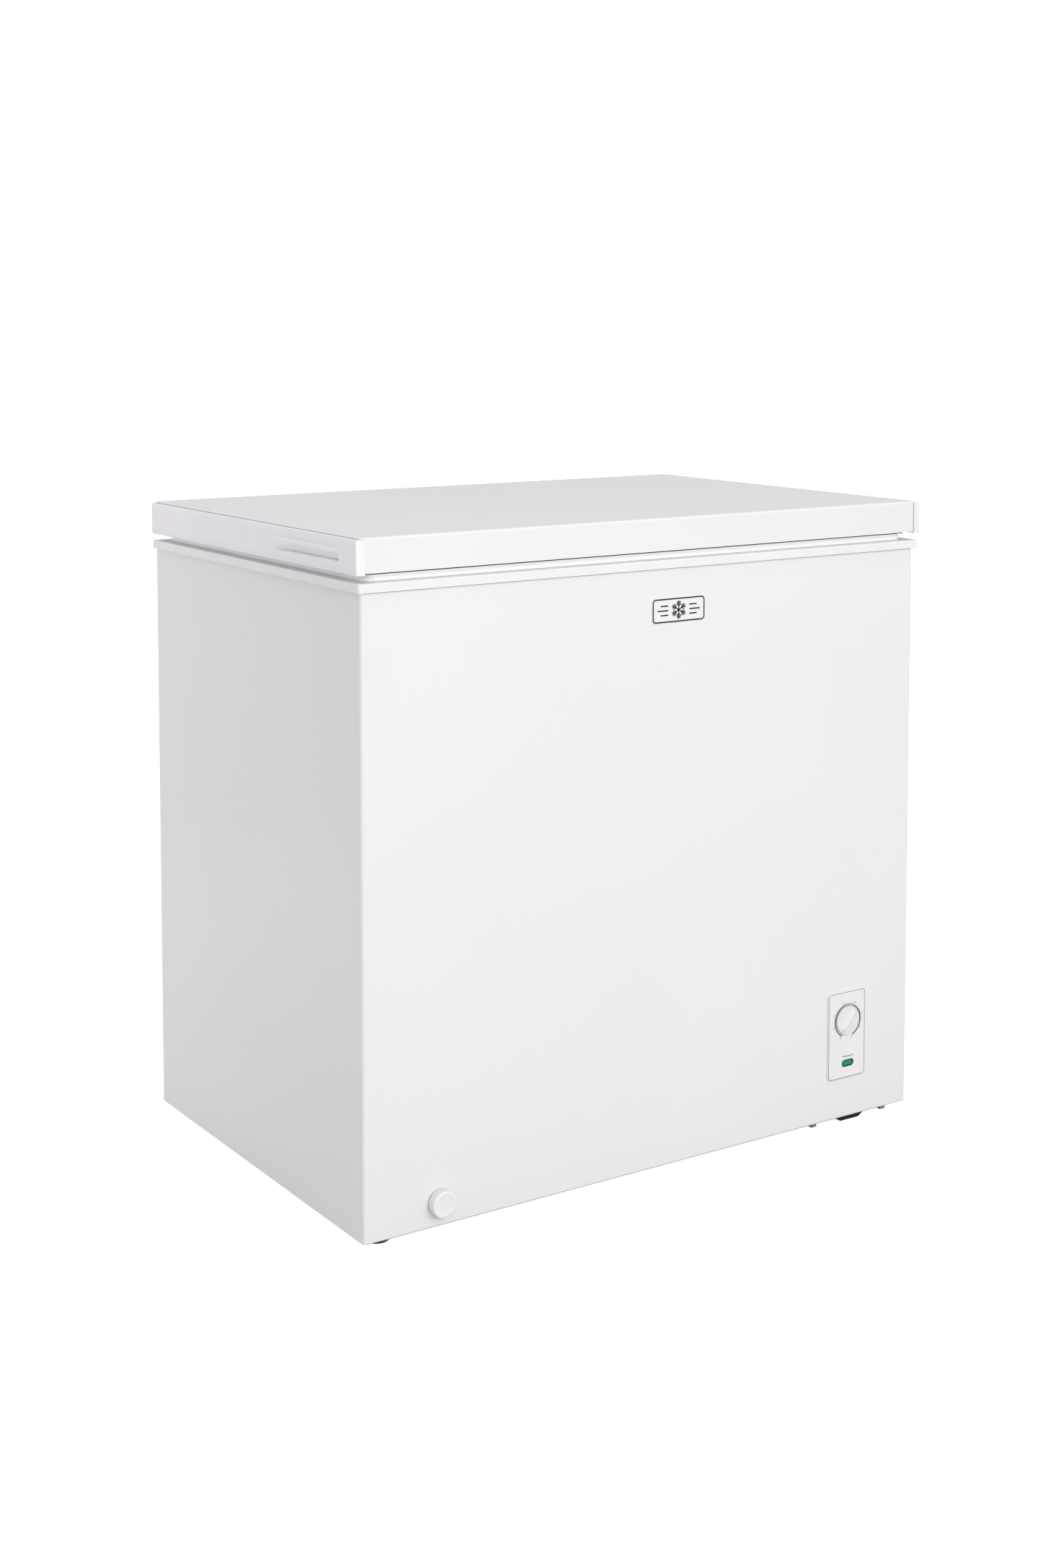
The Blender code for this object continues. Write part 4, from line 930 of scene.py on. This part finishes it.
# ---------------------------------------------------------------- basket
def basket():
    """Coated wire basket: rim, floor frame, hoops and crossing wires."""
    low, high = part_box("wire_basket")
    wire, thick_wire = 0.0011, 0.0021
    cx, cy = (low.x + high.x) / 2, (low.y + high.y) / 2
    w, d = (high.x - low.x) / 2 - thick_wire, (high.y - low.y) / 2 - thick_wire
    top, floor = high.z - thick_wire, low.z + thick_wire
    taper = 0.88                     # size of the floor as a part of the rim's

    def hoop(z):
        s = taper + (1.0 - taper) * (z - floor) / (top - floor)
        return [(cx + u, cy + v, z) for u, v in rounded_rectangle(w * s, d * s, 0.022, 5)]

    bm = wires([hoop(top)], thick_wire, 3, closed=True)
    add(bm, wires([hoop(floor)], thick_wire * 0.8, 3, closed=True))
    levels = [floor + (top - floor) * t for t in (0.2, 0.4, 0.6, 0.8)]
    add(bm, wires([hoop(z) for z in levels], wire, 2, closed=True))
    runs = []
    across, lengthwise = 8, 15                        # numbers of wires
    across_end, lengthwise_end = 0.86, 0.91           # where the outermost ones run
    for k in range(across):
        t = -across_end + 2.0 * across_end * k / (across - 1)
        u0, u1 = w * taper * t, w * t
        runs.append([(cx + u1, cy - d, top), (cx + u0, cy - d * taper, floor - wire),
                     (cx + u0, cy + d * taper, floor - wire), (cx + u1, cy + d, top)])
    for k in range(lengthwise):
        t = -lengthwise_end + 2.0 * lengthwise_end * k / (lengthwise - 1)
        v0, v1 = d * taper * t, d * t
        runs.append([(cx - w, cy + v1, top), (cx - w * taper, cy + v0, floor + wire),
                     (cx + w * taper, cy + v0, floor + wire), (cx + w, cy + v1, top)])
    add(bm, wires(runs, wire, 2))
    piece("basket_wires", bm, "basket", WIRE, ("wire_basket",), sharp=60)


basket()


# ---------------------------------------------------------------- back of the cabinet
def vent_cover():
    """Cover plate with pressed louvres over the machine compartment."""
    low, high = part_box("rear_vent_cover")
    plate = block(low.x, high.x, low.y, high.y, low.z, high.z)
    corners = [e for e in plate.edges if along(e, "Y")]
    round_edges(plate, corners, radius=0.004, segments=4)
    rows, first, pitch = 11, 0.044, 0.0185
    wide, tall, through = 0.102, 0.0070, 0.01
    slots = []
    hoods = bmesh.new()
    for row in range(rows):
        z = low.z + first + pitch * row
        for x in (low.x + 0.022, low.x + 0.138):
            slots.append(block(x, x + wide, low.y - through, high.y + through, z, z + tall))
            add(hoods, louvre(x, wide, high.y, z))
    gx, gz = middle_xz(*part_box("power_inlet_gland"))
    bore = 0.0068
    hole = lathe([(0.0, through), (bore, through), (bore, -through), (0.0, -through)], 28)
    bmesh.ops.transform(hole, matrix=facing_front(gx, high.y, gz), verts=hole.verts)
    plate = subtract(plate, *slots, hole)
    add(plate, hoods)
    piece("vent_cover_louvred", plate, "cabinet", GALVANISED,
          ("rear_vent_cover",), sharp=28)


def louvre(x, wide, face, z):
    """Curved hood over one slot, open at the bottom."""
    bm = bmesh.new()
    steps = 5
    deep, high, sheet, sunk = 0.0042, 0.0078, 0.0007, 0.0002
    outer = [(deep * math.sin(a), high * math.cos(a))
             for a in (math.radians(90.0 * k / steps) for k in range(steps + 1))]
    inner = [(max(0.0, u - sheet), v - sheet * 0.6) for u, v in outer[::-1]]
    inner[-1] = (-sunk, inner[-1][1])
    outer[0] = (-sunk, outer[0][1])
    x0, x1 = x + 0.0004, x + wide - 0.0004
    slope, flattened = 0.005, 0.25                    # the hood's ends sink to the sheet
    rings = []
    for px, squeeze in ((x0, flattened), (x0 + slope, 1.0), (x1 - slope, 1.0), (x1, flattened)):
        rings.append([bm.verts.new((px, face + u * squeeze, z + v)) for u, v in outer + inner])
    bridge(bm, rings)
    bm.faces.new(rings[0])
    bm.faces.new(rings[-1])
    return bm


def screw(number):
    """Pan-head screw with a cross recess, each turned by its own angle."""
    node = "cover_screw_%d" % number
    low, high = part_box(node)
    cx, cz = middle_xz(low, high)
    r, tall = (high.x - low.x) / 2, high.y - low.y
    profile = [(0.0, tall), (r * 0.45, tall * 0.97), (r * 0.75, tall * 0.80),
               (r * 0.94, tall * 0.5), (r, tall * 0.15), (r * 0.98, 0.0), (0.0, 0.0)]
    arm, half = r * 0.52, r * 0.11
    bottom, top = tall * 0.45, tall * 1.5
    head = subtract(lathe(profile, 32), block(-arm, arm, -half, half, bottom, top),
                    block(-half, half, -arm, arm, bottom, top))
    turn = Matrix.Translation((cx, low.y, cz)) @ Matrix.Rotation(math.radians(-90), 4, "X")
    turn = turn @ Matrix.Rotation(math.radians(23.0 * number), 4, "Z")
    bmesh.ops.transform(head, matrix=turn, verts=head.verts)
    piece("screw_head_%d" % number, head, "cabinet", ZINC, (node,))


def hinge_hood(side):
    """Moulded hood over a hinge spring, open at the top and towards the cabinet."""
    node = "hinge_cover_" + side
    low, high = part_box(node)
    bm = block(low.x, high.x, low.y, high.y, low.z, high.z)
    rear = [e for e in bm.edges if along(e, "Z") and e.verts[0].co.y > high.y - NEAR]
    round_edges(bm, rear, radius=0.0040, segments=5)
    caps = [e for e in bm.edges
            if not along(e, "Z") and min(v.co.y for v in e.verts) > low.y + 0.001
            and (min(v.co.z for v in e.verts) > high.z - NEAR
                 or max(v.co.z for v in e.verts) < low.z + NEAR)]
    round_edges(bm, caps, radius=0.0012, segments=3)
    wall_side, wall_rear, wall_low = 0.0115, 0.0020, 0.0030
    bm = subtract(bm, block(low.x + wall_side, high.x - wall_side, low.y - 0.01,
                            high.y - wall_rear, low.z + wall_low, high.z + 0.02))
    piece("hinge_hood_" + side, bm, "cabinet", PLASTIC, (node,))


vent_cover()
for number in (1, 2, 3, 4):
    screw(number)
hinge_hood("left")
hinge_hood("right")


# ---------------------------------------------------------------- stage, light, camera
CAMERA_AT = (-1.6442, -2.4640, 1.1169)
CAMERA_YAW = 33.444              # degrees to the right of straight ahead (+Y)
CAMERA_DOWN = 4.361
CAMERA_LENS = 50.37              # millimetres on a 36 mm long side
CAMERA_SHIFT = -0.2
FLOOR_RADIUS = 30.0
FLOOR_GLOW = 0.90                # makes the floor as white to the camera as the surround
WHITE = (1.0, 1.0, 1.0, 1.0)


def floor():
    """Pale floor that looks white to the camera and lights the object less than that."""
    bm = bmesh.new()
    bmesh.ops.create_circle(bm, cap_ends=True, segments=96, radius=FLOOR_RADIUS)
    mesh = bpy.data.meshes.new("floor")
    bm.to_mesh(mesh)
    bm.free()
    pale = (0.56, 0.55, 0.56)
    look = Look("pale floor", pale, 0.85, Specular_IOR_Level=0.1)
    look.colours(look.noise(1.2), (0.3, tint(pale, 0.99)), (0.7, tint(pale, 1.01)))
    look.relief(look.noise(300.0), distance=0.0001, strength=0.1)
    path = look.tree.nodes.new("ShaderNodeLightPath")
    glow = look.tree.nodes.new("ShaderNodeMath")
    glow.operation = "MULTIPLY"
    glow.inputs[1].default_value = FLOOR_GLOW
    look.link(path.outputs["Is Camera Ray"], glow.inputs[0])
    look.link(glow.outputs[0], look.shader.inputs["Emission Strength"])
    look.shader.inputs["Emission Color"].default_value = WHITE
    mesh.materials.append(look.mat)
    ob = bpy.data.objects.new("floor", mesh)
    bpy.context.scene.collection.objects.link(ob)


def backdrop():
    """White surround to the eye, dimmer and slightly lilac as a light."""
    world = bpy.data.worlds.new("studio")
    world.use_nodes = True
    tree = world.node_tree
    shade = tree.nodes["Background"]
    shade.inputs["Color"].default_value = (0.80, 0.785, 0.81, 1.0)
    shade.inputs["Strength"].default_value = 0.80
    white = tree.nodes.new("ShaderNodeBackground")
    white.inputs["Color"].default_value = WHITE
    white.inputs["Strength"].default_value = 1.02
    path = tree.nodes.new("ShaderNodeLightPath")
    mix = tree.nodes.new("ShaderNodeMixShader")
    tree.links.new(path.outputs["Is Camera Ray"], mix.inputs["Fac"])
    tree.links.new(shade.outputs[0], mix.inputs[1])
    tree.links.new(white.outputs[0], mix.inputs[2])
    tree.links.new(mix.outputs[0], tree.nodes["World Output"].inputs["Surface"])
    bpy.context.scene.world = world


def softbox(name, place, target, width, height, radiance, colour):
    """Area light of a stated brightness, aimed at a point and not seen itself."""
    light = bpy.data.lights.new(name, "AREA")
    light.shape = "RECTANGLE"
    light.size = width
    light.size_y = height
    light.energy = radiance * math.pi * width * height
    light.color = colour
    ob = bpy.data.objects.new(name, light)
    ob.location = place
    direction = Vector(target) - Vector(place)
    ob.rotation_euler = direction.to_track_quat("-Z", "Y").to_euler()
    ob.visible_camera = False
    ob.visible_glossy = False
    bpy.context.scene.collection.objects.link(ob)


def camera():
    """Camera fitted to the photo's edges, with less lens shift than the photo has."""
    data = bpy.data.cameras.new("camera")
    data.sensor_width = 36.0
    data.lens = CAMERA_LENS
    data.shift_y = CAMERA_SHIFT
    data.clip_end = 200.0
    ob = bpy.data.objects.new("camera", data)
    yaw, down = math.radians(CAMERA_YAW), math.radians(CAMERA_DOWN)
    ahead = Vector((math.sin(yaw) * math.cos(down), math.cos(yaw) * math.cos(down),
                    -math.sin(down)))
    ob.location = CAMERA_AT
    ob.rotation_euler = ahead.to_track_quat("-Z", "Y").to_euler()
    bpy.context.scene.collection.objects.link(ob)
    bpy.context.scene.camera = ob


floor()
backdrop()
softbox("key", (-0.3, -3.6, 1.7), (0.0, 0.0, 0.65), width=3.2, height=2.4, radiance=2.92,
        colour=(1.0, 1.015, 0.985))
softbox("overhead", (0.0, 0.2, 3.2), (0.0, 0.0, 0.0), width=3.0, height=2.6, radiance=0.56,
        colour=(1.0, 0.985, 1.0))
softbox("left fill", (-1.6, 1.25, 0.75), (-0.43, 0.1, 0.55), width=1.0, height=0.9,
        radiance=2.9, colour=(1.0, 0.97, 1.0))
camera()
bpy.context.scene.view_settings.view_transform = "Standard"
